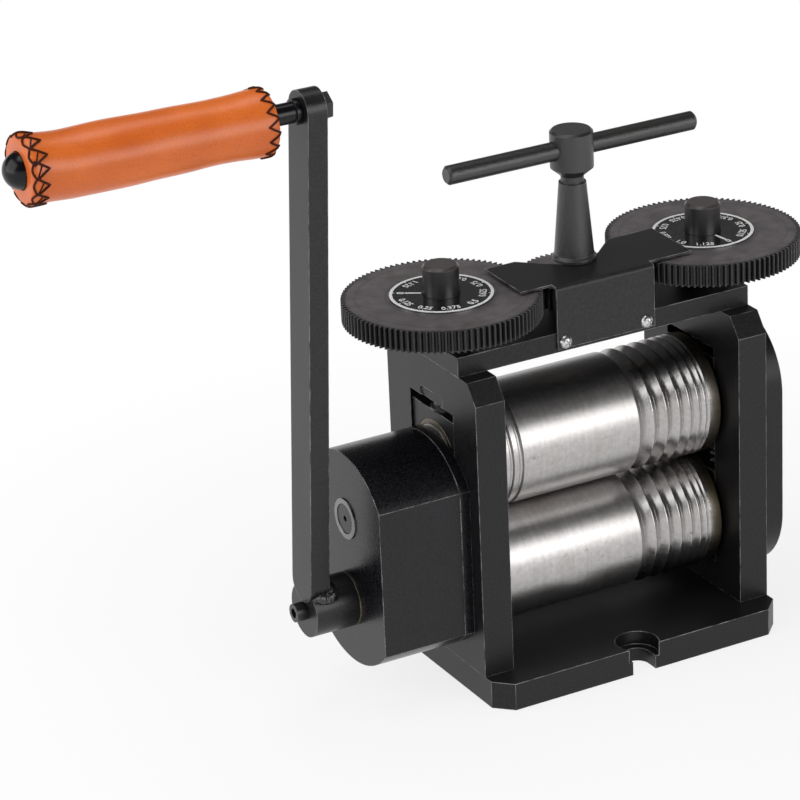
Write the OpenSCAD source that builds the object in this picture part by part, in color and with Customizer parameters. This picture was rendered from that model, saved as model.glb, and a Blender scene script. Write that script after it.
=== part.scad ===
// Hand-cranked combination rolling mill for wire and sheet, with a gearbox on the crank side.
// +X runs along the rollers, away from the crank. +Y runs to the back. +Z is up.
// The origin is on the bench, under the middle of the rollers. All sizes are in millimetres.

/* [Side plates] */
// Thickness of each side plate
plate_t = 13.6; // [13:0.2:17]
// Depth of each side plate, front to back
plate_d = 74; // [72:1:90]
// Depth of the sloped corner at the top of a side plate
shoulder_run = 6.4; // [4:0.2:9]
// Height of the sloped corner at the top of a side plate
shoulder_drop = 8.5; // [5:0.5:12]
// Width of the window that holds the bearing blocks
window_w = 36; // [35:0.5:38]
// Height of the metal left over each window
window_head = 18.5; // [16:0.5:24]
// Length of the shallow pocket milled over the left window
pocket_len = 19; // [12:1:24]
// Height of that pocket
pocket_h = 4.3; // [3:0.1:6]
// Depth of that pocket
pocket_depth = 0.6; // [0.3:0.1:1.5]

/* [Base] */
// Thickness of the base plate
base_t = 12; // [11:0.5:15]
// Depth of the base plate, front to back
base_d = 98; // [94:1:120]
// Size of the cut at each corner of the base plate
base_corner = 7.3; // [4:0.1:10]
// Width of each slot for a bench bolt
bench_slot_w = 11; // [9:0.5:13]
// Distance from the edge of the base to the middle of a bench bolt
bench_slot_inset = 5.7; // [5:0.1:8]
// Diameter of the seat cut round each bench bolt
bench_seat_d = 18.4; // [16:0.2:22]
// Depth of that seat
bench_seat_depth = 6; // [4:0.5:7]

/* [Bridge bar] */
// Thickness of the bar that joins the tops of the side plates
bar_t = 8.5; // [8:0.5:12]

/* [Rollers] */
// Diameter of each roller
roll_d = 52; // [50:0.5:53]
// Length of each roller's barrel
barrel_len = 110; // [100:1:124]
// Gap between a barrel's end and the side plate
barrel_gap = 1; // [0.6:0.1:2]
// Height of the lower roller's axis over the bench
lower_axis_h = 45; // [44:0.5:50]
// Opening between the rollers at rest
roll_gap = 0.5; // [0.4:0.1:1]
// How far the upper roller can rise from rest
open_travel = 3; // [2:0.1:3]
// Diameter of a roller's journal
journal_d = 28.8; // [26:0.2:30]
// Diameter of the shaft ends that carry gears
tail_d = 22; // [18:0.5:23]
// Width of the largest wire groove
groove_w = 7.1; // [4:0.1:8]
// Angle between the two sides of a wire groove
groove_angle = 90; // [80:1:120]
// Flat left between two wire grooves
groove_land = 0.3; // [0.1:0.1:0.5]
// Plain barrel left beyond the last wire groove
end_land = 6.1; // [3:0.1:10]
// Diameter of the smallest half-round groove
round_groove_d = 1.6; // [1:0.1:2.4]
// Spacing of the half-round grooves
round_groove_pitch = 4.4; // [3:0.1:6]
// Chamfer at the ends of a barrel
barrel_chamfer = 1; // [0.4:0.1:2]

/* [Bearing blocks] */
// Height of a bearing block
block_h = 42; // [41:0.5:42.5]
// How far a block sits back from the outer face of its side plate
block_inset = 1; // [0.5:0.1:2]
// Wall of the bearing bush in a block
bush_wall = 2; // [1.2:0.1:2.2]
// Outer diameter of a lift spring
spring_d = 6.6; // [5:0.2:6.8]
// Diameter of a lift spring's wire
spring_wire = 0.9; // [0.6:0.1:1]
// Turns of a lift spring
spring_turns = 7; // [4:1:7]
// Depth of the pocket that holds each end of a lift spring
spring_pocket = 5; // [3:0.5:5]

/* [Adjusting screws] */
// Diameter of the plain head of an adjusting screw
screw_d = 15; // [13:0.5:16]
// Diameter of its threaded shank
thread_d = 10; // [8:0.5:10.5]
// Height of the screw's head over its gear
screw_rise = 13.4; // [8:0.1:18]
// Chamfer at the top of the screw
screw_chamfer = 1; // [0.3:0.1:2]
// Diameter of the pad at the foot of the screw
foot_d = 13; // [11:0.5:13]
// Thickness of that pad
foot_t = 1.3; // [0.8:0.1:1.4]
// Height of the flanged nut over the bridge bar
nut_h = 8.8; // [8:0.1:12]
// Diameter of the flanged nut
nut_d = 24; // [22:0.5:24.5]
// Width of the key between a screw and its gear
key_w = 3; // [2:0.5:4]

/* [Dial gears] */
// Teeth on each dial gear
dial_teeth = 100; // [98:1:110]
// Teeth on the pinion in the middle
pinion_teeth = 56; // [50:1:57]
// Thickness of a dial gear
dial_gear_t = 9.2; // [8:0.1:12]
// Thickness of the middle pinion
pinion_t = 9; // [8:0.1:12]
// Air between the pinion's teeth and the front panel of the guard
pinion_air = 0.3; // [0.2:0.1:2]
// How far the pinion's top lies under the dial gears' top
pinion_drop = 3.7; // [2:0.1:5]
// Diameter of the printed dial
dial_d = 43; // [36:0.5:50]
// Thickness of the printed dial
dial_t = 1; // [0.8:0.1:2]
// How far the printed dial stands over its gear
dial_proud = 0.7; // [0.2:0.1:0.7]

/* [Tee handle] */
// Diameter of the hub that holds the cross bar
tee_hub_d = 18; // [15:0.5:22]
// Height of that hub
tee_hub_h = 16.1; // [13:0.1:20]
// Height of the cone under the hub
tee_cone_h = 3.6; // [2:0.1:6]
// Diameter of the neck under the cone
tee_neck_d = 9.6; // [8:0.1:11]
// Height of the neck
tee_neck_h = 2.8; // [1.5:0.1:5]
// Height of the tapered stem
tee_stem_h = 33.4; // [25:0.1:45]
// Diameter at the top of the tapered stem
tee_stem_top_d = 11.4; // [10:0.1:14]
// Diameter at the foot of the tapered stem
tee_stem_foot_d = 16.6; // [13:0.1:20]
// Diameter of the rim round the stem's foot
tee_rim_d = 18.4; // [14:0.1:22]
// Height of that rim
tee_rim_h = 2.4; // [1:0.1:4]
// Diameter of the shaft under the stem
tee_shaft_d = 10; // [8:0.5:12]
// Diameter of the cross bar
tee_bar_d = 8; // [6:0.5:10]
// Length of the cross bar
tee_bar_len = 117.4; // [80:1:160]
// Chamfer at each end of the cross bar
tee_bar_chamfer = 1; // [0.4:0.1:2]

/* [Gear guard] */
// Thickness of the guard's sheet
sheet_t = 0.9; // [0.7:0.1:1.5]
// Width of the guard's front panel
guard_w = 46.6; // [40:0.2:60]
// Height left bare under the panel on the bridge bar
guard_foot_gap = 1.5; // [0.5:0.1:3]
// Outer radius of the guard's bend
guard_bend = 2; // [1.6:0.1:3]
// Reach of the left wing from the middle
left_wing = 36.6; // [30:0.2:40]
// Reach of the right wing from the middle
right_wing = 44.8; // [30:0.2:46]
// Distance from the middle to the back edge of a wing
wing_back = 11.4; // [8:0.2:16]
// Distance from the middle to the front edge of a wing
wing_front = 20.4; // [16:0.2:22]
// Half the width of the notch at the wings' back edge
notch_half = 22.4; // [16:0.2:26]
// Distance between the two guard screws
guard_screw_span = 38.8; // [30:0.2:42]
// Diameter of a guard screw's head
guard_head_d = 6; // [5:0.1:6.4]
// Height of a guard screw's head
guard_head_h = 2; // [1.5:0.1:2.5]

/* [Gearbox] */
// Thickness of the gearbox's back plate
box_plate_t = 4.5; // [4:0.1:6]
// Depth of the gearbox cover
box_depth = 37.4; // [36:0.1:46]
// Wall of the gearbox cover
box_wall = 3.5; // [2.5:0.1:4]
// Width of the gearbox, front to back
box_w = 59.2; // [58.4:0.1:66]
// Radius of the gearbox's rounded top
box_top_r = 35; // [33:0.1:40]
// Radius of the gearbox's rounded bottom
box_low_r = 40.4; // [37:0.1:46]
// Height of the countershaft over the lower roller's axis
counter_rise = 36; // [35:0.1:36.4]
// Teeth cut on the crank's shaft
first_pinion_teeth = 15; // [15:1:15]
// Teeth on the gear that it drives
first_gear_teeth = 25; // [25:1:25]
// Teeth cut on the countershaft
second_pinion_teeth = 16; // [16:1:16]
// Teeth on the lower roller's gear
second_gear_teeth = 24; // [24:1:24]
// Width of the lower roller's gear
second_face = 13; // [10:0.5:13.5]
// Width of the gear that the crank drives
first_face = 12; // [9:0.5:12]
// Air between the gears and their cover
gear_air = 1.2; // [0.8:0.1:1.6]
// Diameter of the countershaft
counter_d = 13; // [11:0.2:14]
// Wall of the bright ring round the countershaft's end
ring_wall = 2.1; // [1.4:0.1:3]
// How far that ring stands out of the cover
ring_out = 0.6; // [0.5:0.1:2]

/* [Right cover] */
// Depth of the cover over the right pair of gears
side_cover_depth = 12.3; // [11.5:0.1:16]
// Wall of that cover
side_cover_wall = 2.2; // [1.6:0.1:2.6]
// Teeth on each gear that ties the rollers together
tie_teeth = 16; // [16:1:16]

/* [Crank] */
// Distance from the crank's axis to the spindle
crank_len = 223; // [180:1:260]
// Width of the crank's arm
arm_w = 16.5; // [13:0.5:19]
// Thickness of the crank's arm
arm_t = 8.5; // [6:0.5:10]
// Lean of the arm from upright, in degrees
crank_lean = 5.75; // [0:0.25:20]
// Diameter of the hub
hub_d = 23; // [21:0.5:28]
// Length of the hub
hub_len = 20; // [16:0.5:26]
// How far the arm's outer face stands proud of the hub
arm_proud = 1.2; // [0.6:0.1:2.5]
// Diameter of the crank's shaft
crank_shaft_d = 16; // [13:0.5:17]
// Diameter of the socket screw's head
cap_head_d = 7.8; // [7:0.1:9]
// Length of the socket screw's head
cap_head_h = 5; // [4:0.1:7]

/* [Handle] */
// Diameter of the spindle between arm and grip
spindle_d = 8.5; // [8:0.1:10]
// Diameter of the spindle inside the grip
pivot_d = 7; // [6:0.1:7.5]
// Diameter of the spindle's thread
spindle_thread_d = 6; // [5:0.5:6.5]
// Bare spindle between the arm and the grip
spindle_bare = 13.5; // [8:0.1:20]
// Length of the grip
grip_len = 100.6; // [80:0.2:120]
// Diameter of the grip over its leather
grip_d = 26.6; // [24:0.2:32]
// Thickness of the leather
leather_t = 2.6; // [1.6:0.1:3.5]
// Swell of the leather at the ends of the grip
leather_swell = 0.6; // [0.2:0.1:1.2]
// Radius of the rounded edge at each end of the leather
leather_edge = 2.2; // [1:0.1:2.6]
// Diameter of the domed head that keeps the grip on
dome_d = 14.8; // [12:0.1:18]
// Width of the spindle's nut across its flats
nut_flats = 10; // [9:0.5:11]
// Thickness of the spindle's nut
spindle_nut_t = 4; // [3:0.1:6]

/* [Fits] */
// Clearance round a part that turns or slides
run_fit = 0.05; // [0.03:0.01:0.08]
// Clearance round a part that is fixed
seat_fit = 0.02; // [0.01:0.01:0.03]
// Clearance at each side of a bearing block
block_fit = 0.1; // [0.05:0.01:0.12]
// Gap between faces that pass each other
face_gap = 0.3; // [0.2:0.05:0.4]

/* [Hidden] */
$fn = 64;

// One overrun serves every cut.
over = 1;

// Main places, from the bench up and from the middle out
half_throat = barrel_len / 2 + barrel_gap;
half_frame = half_throat + plate_t;
screw_x = half_throat + plate_t / 2;
upper_axis_h = lower_axis_h + roll_d + roll_gap;
window_spare = 1.5;
window_low = lower_axis_h - block_h / 2;
window_high = upper_axis_h + block_h / 2 + open_travel + window_spare;
plate_top = window_high + window_head;
bar_top = plate_top + bar_t;
nut_top = bar_top + nut_h;
gear_low = nut_top + face_gap;
gear_high = gear_low + dial_gear_t;
dial_top = gear_high + dial_proud;
sheet_low = dial_top + face_gap;
sheet_high = sheet_low + sheet_t;
counter_h = lower_axis_h + counter_rise;

// Bearing blocks and their bushes
block_in = half_throat + block_fit;
block_out = half_frame - block_inset;
block_half_w = window_w / 2 - block_fit;
bush_in_r = journal_d / 2 + run_fit;
bush_out_r = bush_in_r + bush_wall;
spring_x = (block_in + block_out) / 2;
spring_y_share = 0.3;
spring_y = window_w * spring_y_share;
spring_pocket_r = spring_d / 2 + face_gap;
spring_low = lower_axis_h + block_h / 2 - spring_pocket;
spring_high = upper_axis_h - block_h / 2 + spring_pocket;

// Rollers
thrust_d = journal_d + 2 * bush_wall;
groove_shares = [1, 0.92, 0.86, 0.74, 0.62, 0.46, 0.3];
function groove_run(n) = n <= 0 ? 0 : groove_shares[n - 1] * groove_w + groove_run(n - 1);
grooves_x = barrel_len / 2 - end_land - groove_run(len(groove_shares));
round_grooves = 3;
round_growth_share = 0.2;
journal_end_share = 0.4;
journal_end = half_frame - journal_end_share * block_inset;

// Gearbox
left_face = -half_frame;
box_in = left_face - box_plate_t;
box_out = box_in - box_depth;
first_m = 2 * counter_rise / (first_pinion_teeth + first_gear_teeth);
second_m = 2 * counter_rise / (second_pinion_teeth + second_gear_teeth);
first_gear_tip = first_m * (first_gear_teeth / 2 + 1);
second_gear_tip = second_m * (second_gear_teeth / 2 + 1);
box_top_c = counter_h + first_gear_tip + gear_air + box_wall - box_top_r;
box_low_c = lower_axis_h - second_gear_tip - gear_air - box_wall + box_low_r;
second_x = box_in - gear_air - second_face;
first_x = second_x - gear_air - first_face;
boss_x = first_x - face_gap;
boss_skin = 1;
box_boss_r = 3.6;
box_boss_y = box_w / 2 - box_boss_r - boss_skin;
box_boss_z = [(lower_axis_h + counter_h) / 2, lower_axis_h - second_gear_tip / 2];
box_screw_r = 2;
box_screw_grip = 12;
box_head_r = 3.5;
box_head_h = 4;
counter_r = counter_d / 2;
ring_r = counter_r + run_fit + ring_wall;
counter_boss_r = ring_r + box_wall;
crank_bush_wall = 3;
crank_bush_r = crank_shaft_d / 2 + run_fit + crank_bush_wall;
crank_boss_r = crank_bush_r + box_wall;
bush_flange_t = 1;
tail_hole_gap = 0.6;
pilot_share = 0.23;
pilot_r = tail_d * pilot_share;
pilot_len = 11;
shaft_key_w = 4;
shaft_key_h = 4;

// Gears that tie the rollers together, in the right cover
tie_m = (roll_d + roll_gap) / tie_teeth;
tie_pitch_r = (roll_d + roll_gap) / 2;
tie_tip_share = 0.595;
tie_root_share = 0.87;
tie_tip = tie_pitch_r + tie_tip_share * tie_m;
tie_root = tie_pitch_r - tie_root_share * tie_m;
side_air = 0.5;
tie_air = 0.8;
side_cover_r = tie_tip + side_air + side_cover_wall;
side_cover_high = upper_axis_h + open_travel;
side_cover_out = half_frame + side_cover_depth;
tie_x0 = half_frame + tie_air;
tie_x1 = side_cover_out - side_cover_wall - tie_air;
side_boss_r = 4.2;
side_boss_y = side_cover_r - side_cover_wall - side_boss_r + boss_skin;
side_boss_z = (lower_axis_h + side_cover_high) / 2;
side_screw_grip = 9;

// Dial gears, pinion and guard
dial_m = 2 * screw_x / (dial_teeth + pinion_teeth);
addendum_share = 0.95;
dedendum_share = 1.25;
recess_share = 0.44;
pressure_angle = 20;
thin_share = 0.12;
tie_thin_share = 0.15;
bar_d = 2 * (dial_m * (pinion_teeth / 2 + addendum_share) + pinion_air - seat_fit);
pinion_high = gear_high - pinion_drop;
pinion_low = pinion_high - pinion_t;
nut_spigot_d = 12;
nut_seat_depth = 4.6;
shank_hole_gap = 0.6;
head_low = nut_top - nut_seat_depth + foot_t;
key_out = 1.5;
key_h = dial_gear_t - 2 * dial_t;
guard_front = -bar_d / 2 - seat_fit - sheet_t;
guard_low = plate_top + guard_foot_gap;
guard_screw_z = plate_top + bar_t / 2;
guard_screw_r = 1.5;
guard_screw_grip = 8;
cross_len_share = 0.55;
cross_w_share = 0.14;
cross_turn = 30;
stem_low = sheet_high + face_gap;
tee_hub_low = stem_low + tee_stem_h + tee_neck_h + tee_cone_h;
tee_bar_h = tee_hub_low + tee_hub_h / 2;
tee_bush_wall = 3;
tee_bush_r = tee_shaft_d / 2 + run_fit + tee_bush_wall;
tee_flange_r = tee_bush_r + tee_bush_wall;
clip_t = 1.2;
tee_shaft_low = plate_top - face_gap - 2 * clip_t;

// Fasteners of the frame
base_screw_r = 3;
base_screw_share = 0.36;
base_screw_y = plate_d * base_screw_share;
base_screw_grip = 14;
base_head_r = 5;
base_head_h = 6;
base_screw_low = base_head_h + face_gap;
base_screw_top = base_t + base_screw_grip;
bar_screw_r = 2.5;
bar_head_r = 4.25;
bar_head_h = 5;
bar_screw_len = 16;
bar_screw_y = nut_d / 2 + bar_head_r + face_gap;
socket_share = 0.6;
socket_depth_share = 0.6;

// Crank and handle, in the crank's own frame: its axis is the origin and its arm runs up
hub_x1 = box_out - bush_flange_t - seat_fit - run_fit;
hub_x0 = hub_x1 - hub_len;
arm_x0 = hub_x0 - arm_proud;
arm_x1 = arm_x0 + arm_t;
nose_rise = arm_w / 2 + cap_head_d / 2 + arm_proud;
shaft_end_x = arm_x1 + face_gap;
cap_screw_r = 2.5;
cap_screw_grip = 12;
spindle_collar_t = 2.6;
spindle_collar_d = 10.4;
grip_x1 = arm_x0 - spindle_bare;
grip_x0 = grip_x1 - grip_len;
dome_x = grip_x0 - face_gap;
core_x0 = grip_x0 + leather_t + seat_fit;
core_x1 = grip_x1 - leather_t - seat_fit;
weld_size = 3.2;
weld_share = 0.4;

// Helpers

module span_x(x0, x1) {
  translate([x0, 0, 0]) rotate([90, 0, 90]) linear_extrude(x1 - x0) children();
}

module rod_x(r, x0, x1, y = 0, z = 0) {
  translate([x0, y, z]) rotate([0, 90, 0]) cylinder(r = r, h = x1 - x0);
}

module rod_z(r, z0, z1, x = 0, y = 0) {
  translate([x, y, z0]) cylinder(r = r, h = z1 - z0);
}

module block(low, high) {
  translate(low) cube(high - low);
}

module turned_x(points, z = 0) {
  translate([0, 0, z]) rotate([90, 0, 90]) rotate_extrude() polygon(points);
}

// A socket screw: the head lies above zero, the shank runs down, and a six-sided socket opens the head.
module socket_screw(head_r, head_h, shank_r, shank_len) {
  difference() {
    union() {
      rod_z(head_r, 0, head_h);
      rod_z(shank_r, -shank_len, head_h * (1 - socket_depth_share));
    }
    translate([0, 0, head_h * (1 - socket_depth_share)])
      cylinder(r = head_r * socket_share, h = head_h, $fn = 6);
  }
}

// Half the angle that a tooth spans at radius r
function involute(a) = tan(a) * 180 / PI - a;
function base_r(teeth, m) = teeth * m / 2 * cos(pressure_angle);
function flank_angle(teeth, m, r) = acos(min(1, base_r(teeth, m) / r));
function half_tooth(teeth, m, thin, r) =
  90 / teeth * (1 - thin) + involute(pressure_angle) - involute(flank_angle(teeth, m, r));
function polar(r, a) = [r * cos(a), r * sin(a)];

module gear_outline(teeth, m, tip, root, thin, steps, first) {
  radii = [for (i = [0:steps]) root + (tip - root) * i / steps];
  polygon([for (k = [0:teeth - 1])
    for (j = [0:2 * steps + 1])
      let (r = j <= steps ? radii[j] : radii[2 * steps + 1 - j],
        side = j <= steps ? -1 : 1)
      polar(r, first + 360 / teeth * k + side * half_tooth(teeth, m, thin, r))]);
}

module plain_gear(teeth, m, thin, steps, first) {
  gear_outline(teeth, m, m * (teeth / 2 + addendum_share),
    m * (teeth / 2 - dedendum_share), thin, steps, first);
}

// Base and frame

module base_plate() {
  half_d = base_d / 2;
  color([0.10, 0.10, 0.11]) difference() {
    linear_extrude(base_t) polygon([for (sx = [-1, 1], i = [0:3])
      let (sy = i < 2 ? -sx : sx, cut_x = i == 1 || i == 2 ? 0 : base_corner,
        cut_y = base_corner - cut_x)
      [sx * (half_frame - cut_x), sy * (half_d - cut_y)]]);
    for (sy = [-1, 1]) {
      y = sy * (half_d - bench_slot_inset);
      rod_z(bench_slot_w / 2, -over, base_t + over, 0, y);
      rod_z(bench_seat_d / 2, base_t - bench_seat_depth, base_t + over, 0, y);
      translate([-bench_slot_w / 2, min(y, y + sy * bench_seat_d), -over])
        cube([bench_slot_w, bench_seat_d, base_t + 2 * over]);
    }
    for (sx = [-1, 1], sy = [-1, 1]) {
      rod_z(base_screw_r + face_gap, -over, base_t + over, sx * screw_x, sy * base_screw_y);
      rod_z(base_head_r + face_gap, -over, base_screw_low, sx * screw_x, sy * base_screw_y);
    }
  }
}

module side_plate_outline() {
  half_d = plate_d / 2;
  polygon([[-half_d, base_t], [half_d, base_t], [half_d, plate_top - shoulder_drop],
    [half_d - shoulder_run, plate_top], [shoulder_run - half_d, plate_top],
    [-half_d, plate_top - shoulder_drop]]);
}

// The plate on the side of +X, without the holes for its cover
module side_plate_blank() {
  difference() {
    span_x(half_throat, half_frame) side_plate_outline();
    block([half_throat - over, -window_w / 2, window_low], [half_frame + over, window_w / 2, window_high]);
    rod_z(thread_d / 2 + shank_hole_gap, window_high - over, plate_top + over, screw_x);
    for (sy = [-1, 1]) {
      rod_z(base_screw_r + seat_fit, base_t - over, base_screw_top + face_gap, screw_x, sy * base_screw_y);
      rod_z(bar_screw_r + seat_fit, bar_top - bar_head_h - bar_screw_len - face_gap, plate_top + over,
        screw_x, sy * bar_screw_y);
    }
  }
}

module left_side_plate() {
  pocket_y = (pocket_len - pocket_h) / 2;
  color([0.12, 0.12, 0.13]) difference() {
    mirror([1, 0, 0]) side_plate_blank();
    for (sy = [-1, 1], z = box_boss_z) {
      rod_x(box_screw_r + face_gap, -half_frame - over, over - half_throat, sy * box_boss_y, z);
      rod_x(box_head_r + face_gap, -half_throat - box_head_h - face_gap, over - half_throat,
        sy * box_boss_y, z);
    }
    for (sy = [-1, 1])
      rod_x(pocket_h / 2, left_face - over, left_face + pocket_depth, sy * pocket_y,
        window_high + pocket_h / 2);
    block([left_face - over, -pocket_y, window_high - over],
      [left_face + pocket_depth, pocket_y, window_high + pocket_h]);
  }
}

module right_side_plate() {
  color([0.12, 0.12, 0.13]) difference() {
    side_plate_blank();
    for (sy = [-1, 1])
      rod_x(box_screw_r + seat_fit, half_frame - side_screw_grip, half_frame + over,
        sy * side_boss_y, side_boss_z);
  }
}

module bridge_bar() {
  color([0.11, 0.11, 0.12]) difference() {
    block([-half_frame, -bar_d / 2, plate_top], [half_frame, bar_d / 2, bar_top]);
    rod_z(tee_bush_r + seat_fit, plate_top - over, bar_top + over);
    for (sx = [-1, 1]) {
      rod_z(nut_spigot_d / 2 + seat_fit, plate_top - over, bar_top + over, sx * screw_x);
      translate([sx * guard_screw_span / 2, -bar_d / 2 - over, guard_screw_z]) rotate([-90, 0, 0])
        cylinder(r = guard_screw_r + seat_fit, h = guard_screw_grip + over);
      for (sy = [-1, 1]) {
        rod_z(bar_screw_r + face_gap, plate_top - over, bar_top + over, sx * screw_x, sy * bar_screw_y);
        rod_z(bar_head_r + seat_fit, bar_top - bar_head_h, bar_top + over, sx * screw_x, sy * bar_screw_y);
      }
    }
  }
}

module base_screws() {
  color([0.08, 0.08, 0.09]) for (sx = [-1, 1], sy = [-1, 1])
    translate([sx * screw_x, sy * base_screw_y, base_screw_low]) rotate([180, 0, 0])
      socket_screw(base_head_r, base_head_h, base_screw_r, base_screw_top - base_screw_low);
}

module bar_screws() {
  color([0.08, 0.08, 0.09]) for (sx = [-1, 1], sy = [-1, 1])
    translate([sx * screw_x, sy * bar_screw_y, bar_top - bar_head_h])
      socket_screw(bar_head_r, bar_head_h, bar_screw_r, bar_screw_len);
}

// Bearing blocks, bushes and springs

// A block on the side of +X, with its bore at height h and its spring pockets on the side named by up
module bearing_block(h, up) {
  pocket_z = up > 0 ? h + block_h / 2 - spring_pocket : h - block_h / 2 - over;
  difference() {
    block([block_in, -block_half_w, h - block_h / 2], [block_out, block_half_w, h + block_h / 2]);
    rod_x(bush_out_r + seat_fit, block_in - over, block_out + over, 0, h);
    for (sy = [-1, 1])
      rod_z(spring_pocket_r, pocket_z, pocket_z + spring_pocket + over, spring_x, sy * spring_y);
  }
}

module bearing_bush(h) {
  difference() {
    rod_x(bush_out_r, block_in, block_out, 0, h);
    rod_x(bush_in_r, block_in - over, block_out + over, 0, h);
  }
}

module left_lower_block() {
  color([0.55, 0.55, 0.57]) mirror([1, 0, 0]) bearing_block(lower_axis_h, 1);
}

module right_lower_block() {
  color([0.55, 0.55, 0.57]) bearing_block(lower_axis_h, 1);
}

module left_upper_block() {
  color([0.55, 0.55, 0.57]) mirror([1, 0, 0]) bearing_block(upper_axis_h, -1);
}

module right_upper_block() {
  color([0.55, 0.55, 0.57]) bearing_block(upper_axis_h, -1);
}

module left_lower_bush() {
  color([0.72, 0.52, 0.25]) mirror([1, 0, 0]) bearing_bush(lower_axis_h);
}

module right_lower_bush() {
  color([0.72, 0.52, 0.25]) bearing_bush(lower_axis_h);
}

module left_upper_bush() {
  color([0.72, 0.52, 0.25]) mirror([1, 0, 0]) bearing_bush(upper_axis_h);
}

module right_upper_bush() {
  color([0.72, 0.52, 0.25]) bearing_bush(upper_axis_h);
}

// A lift spring is one tube along a helix whose two ends run straight up for one wire diameter.
spring_sides = 6;
spring_rings = 8;
spring_mean_r = (spring_d - spring_wire) / 2;
spring_clear = seat_fit * 2;
coil_low = spring_low + spring_clear + 2 * spring_wire;
coil_high = spring_high - spring_clear - 2 * spring_wire;
spring_count = spring_turns * spring_rings;
function coil_point(i) = let (a = 360 * i / spring_rings)
  [spring_mean_r * cos(a), spring_mean_r * sin(a), coil_low + (coil_high - coil_low) * i / spring_count];
function end_point(i, z) = let (p = coil_point(i)) [p.x, p.y, z];
spring_path = concat(
  [end_point(0, spring_low + spring_clear), end_point(0, coil_low - spring_wire)],
  [for (i = [1:spring_count - 1]) coil_point(i)],
  [end_point(spring_count, coil_high + spring_wire), end_point(spring_count, spring_high - spring_clear)]);
function unit(v) = v / norm(v);
function heading(i) = let (n = len(spring_path))
  i == 0 || i == n - 1 ? [0, 0, 1] : unit(spring_path[i + 1] - spring_path[i - 1]);
function outward(i) = let (p = spring_path[i], t = heading(i), o = [p.x, p.y, 0])
  unit(o - t * (o * t));
spring_points = [for (i = [0:len(spring_path) - 1])
  let (o = outward(i), s = cross(heading(i), o))
  for (k = [0:spring_sides - 1])
    spring_path[i] + spring_wire / 2 * (o * cos(360 * k / spring_sides) + s * sin(360 * k / spring_sides))];
spring_walls = [for (i = [0:len(spring_path) - 2], k = [0:spring_sides - 1])
  let (a = i * spring_sides + k, b = i * spring_sides + (k + 1) % spring_sides)
  for (side = [0, 1])
    side == 0 ? [a, a + spring_sides, b] : [b, a + spring_sides, b + spring_sides]];
spring_last = (len(spring_path) - 1) * spring_sides;
spring_ends = [for (k = [1:spring_sides - 2], side = [0, 1])
  side == 0 ? [0, k, k + 1] : [spring_last, spring_last + k + 1, spring_last + k]];
function coil_gaps(i) = [for (j = [i + spring_rings - 2:len(spring_path) - 1])
  norm(spring_path[j] - spring_path[i]) - spring_wire];
spring_gap = min([for (i = [0:len(spring_path) - spring_rings + 1]) min(coil_gaps(i))]);
echo("least gap between two turns of a lift spring, in mm", spring_gap);

module lift_springs() {
  color([0.62, 0.63, 0.65]) for (sx = [-1, 1], sy = [-1, 1])
    translate([sx * spring_x, sy * spring_y, 0])
      polyhedron(points = spring_points, faces = concat(spring_walls, spring_ends));
}

// Gearbox on the crank side

module gearbox_outline(inset) {
  intersection() {
    translate([-box_w / 2 + inset, 0]) square([box_w - 2 * inset, box_top_c + box_top_r + over]);
    union() {
      translate([0, box_top_c]) circle(r = box_top_r - inset);
      translate([0, box_low_c]) circle(r = box_low_r - inset);
    }
  }
}

module gearbox_back_plate() {
  color([0.11, 0.11, 0.12]) difference() {
    span_x(box_in, left_face - seat_fit) gearbox_outline(0);
    rod_x(tail_d / 2 + tail_hole_gap, box_in - over, left_face + over, 0, lower_axis_h);
    rod_x(counter_r + run_fit, box_in - over, left_face + over, 0, counter_h);
    for (sy = [-1, 1], z = box_boss_z)
      rod_x(box_screw_r + face_gap, box_in - over, left_face + over, sy * box_boss_y, z);
  }
}

module gearbox_cover() {
  cover_in = box_in - seat_fit;
  color([0.12, 0.12, 0.13]) difference() {
    union() {
      difference() {
        span_x(box_out, cover_in) gearbox_outline(0);
        span_x(box_out + box_wall, cover_in + over) gearbox_outline(box_wall);
      }
      rod_x(crank_boss_r, box_out + box_wall / 2, boss_x, 0, lower_axis_h);
      rod_x(counter_boss_r, box_out + box_wall / 2, boss_x, 0, counter_h);
      for (sy = [-1, 1], z = box_boss_z)
        rod_x(box_boss_r, box_out + box_wall / 2, cover_in, sy * box_boss_y, z);
    }
    rod_x(crank_bush_r + seat_fit, box_out - over, boss_x + over, 0, lower_axis_h);
    rod_x(ring_r + seat_fit, box_out - over, boss_x + over, 0, counter_h);
    for (sy = [-1, 1], z = box_boss_z)
      rod_x(box_screw_r + seat_fit, cover_in - box_screw_grip, cover_in + over, sy * box_boss_y, z);
  }
}

module gearbox_screws() {
  head_x = -half_throat - box_head_h;
  color([0.08, 0.08, 0.09]) for (sy = [-1, 1], z = box_boss_z)
    translate([head_x, sy * box_boss_y, z]) rotate([0, 90, 0])
      socket_screw(box_head_r, box_head_h, box_screw_r,
        head_x - box_in + box_screw_grip - face_gap);
}

module countershaft_ring() {
  color([0.80, 0.80, 0.80]) difference() {
    rod_x(ring_r, box_out - ring_out, boss_x, 0, counter_h);
    rod_x(counter_r + run_fit, box_out - ring_out - over, boss_x + over, 0, counter_h);
  }
}

module crank_bush() {
  color([0.72, 0.52, 0.25]) difference() {
    union() {
      rod_x(crank_bush_r, box_out - bush_flange_t, boss_x, 0, lower_axis_h);
      rod_x(hub_d / 2 - seat_fit, box_out - bush_flange_t - seat_fit, box_out - seat_fit, 0, lower_axis_h);
    }
    rod_x(crank_shaft_d / 2 + run_fit, box_out - bush_flange_t - over, boss_x + over, 0, lower_axis_h);
  }
}

// Cover on the right

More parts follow.
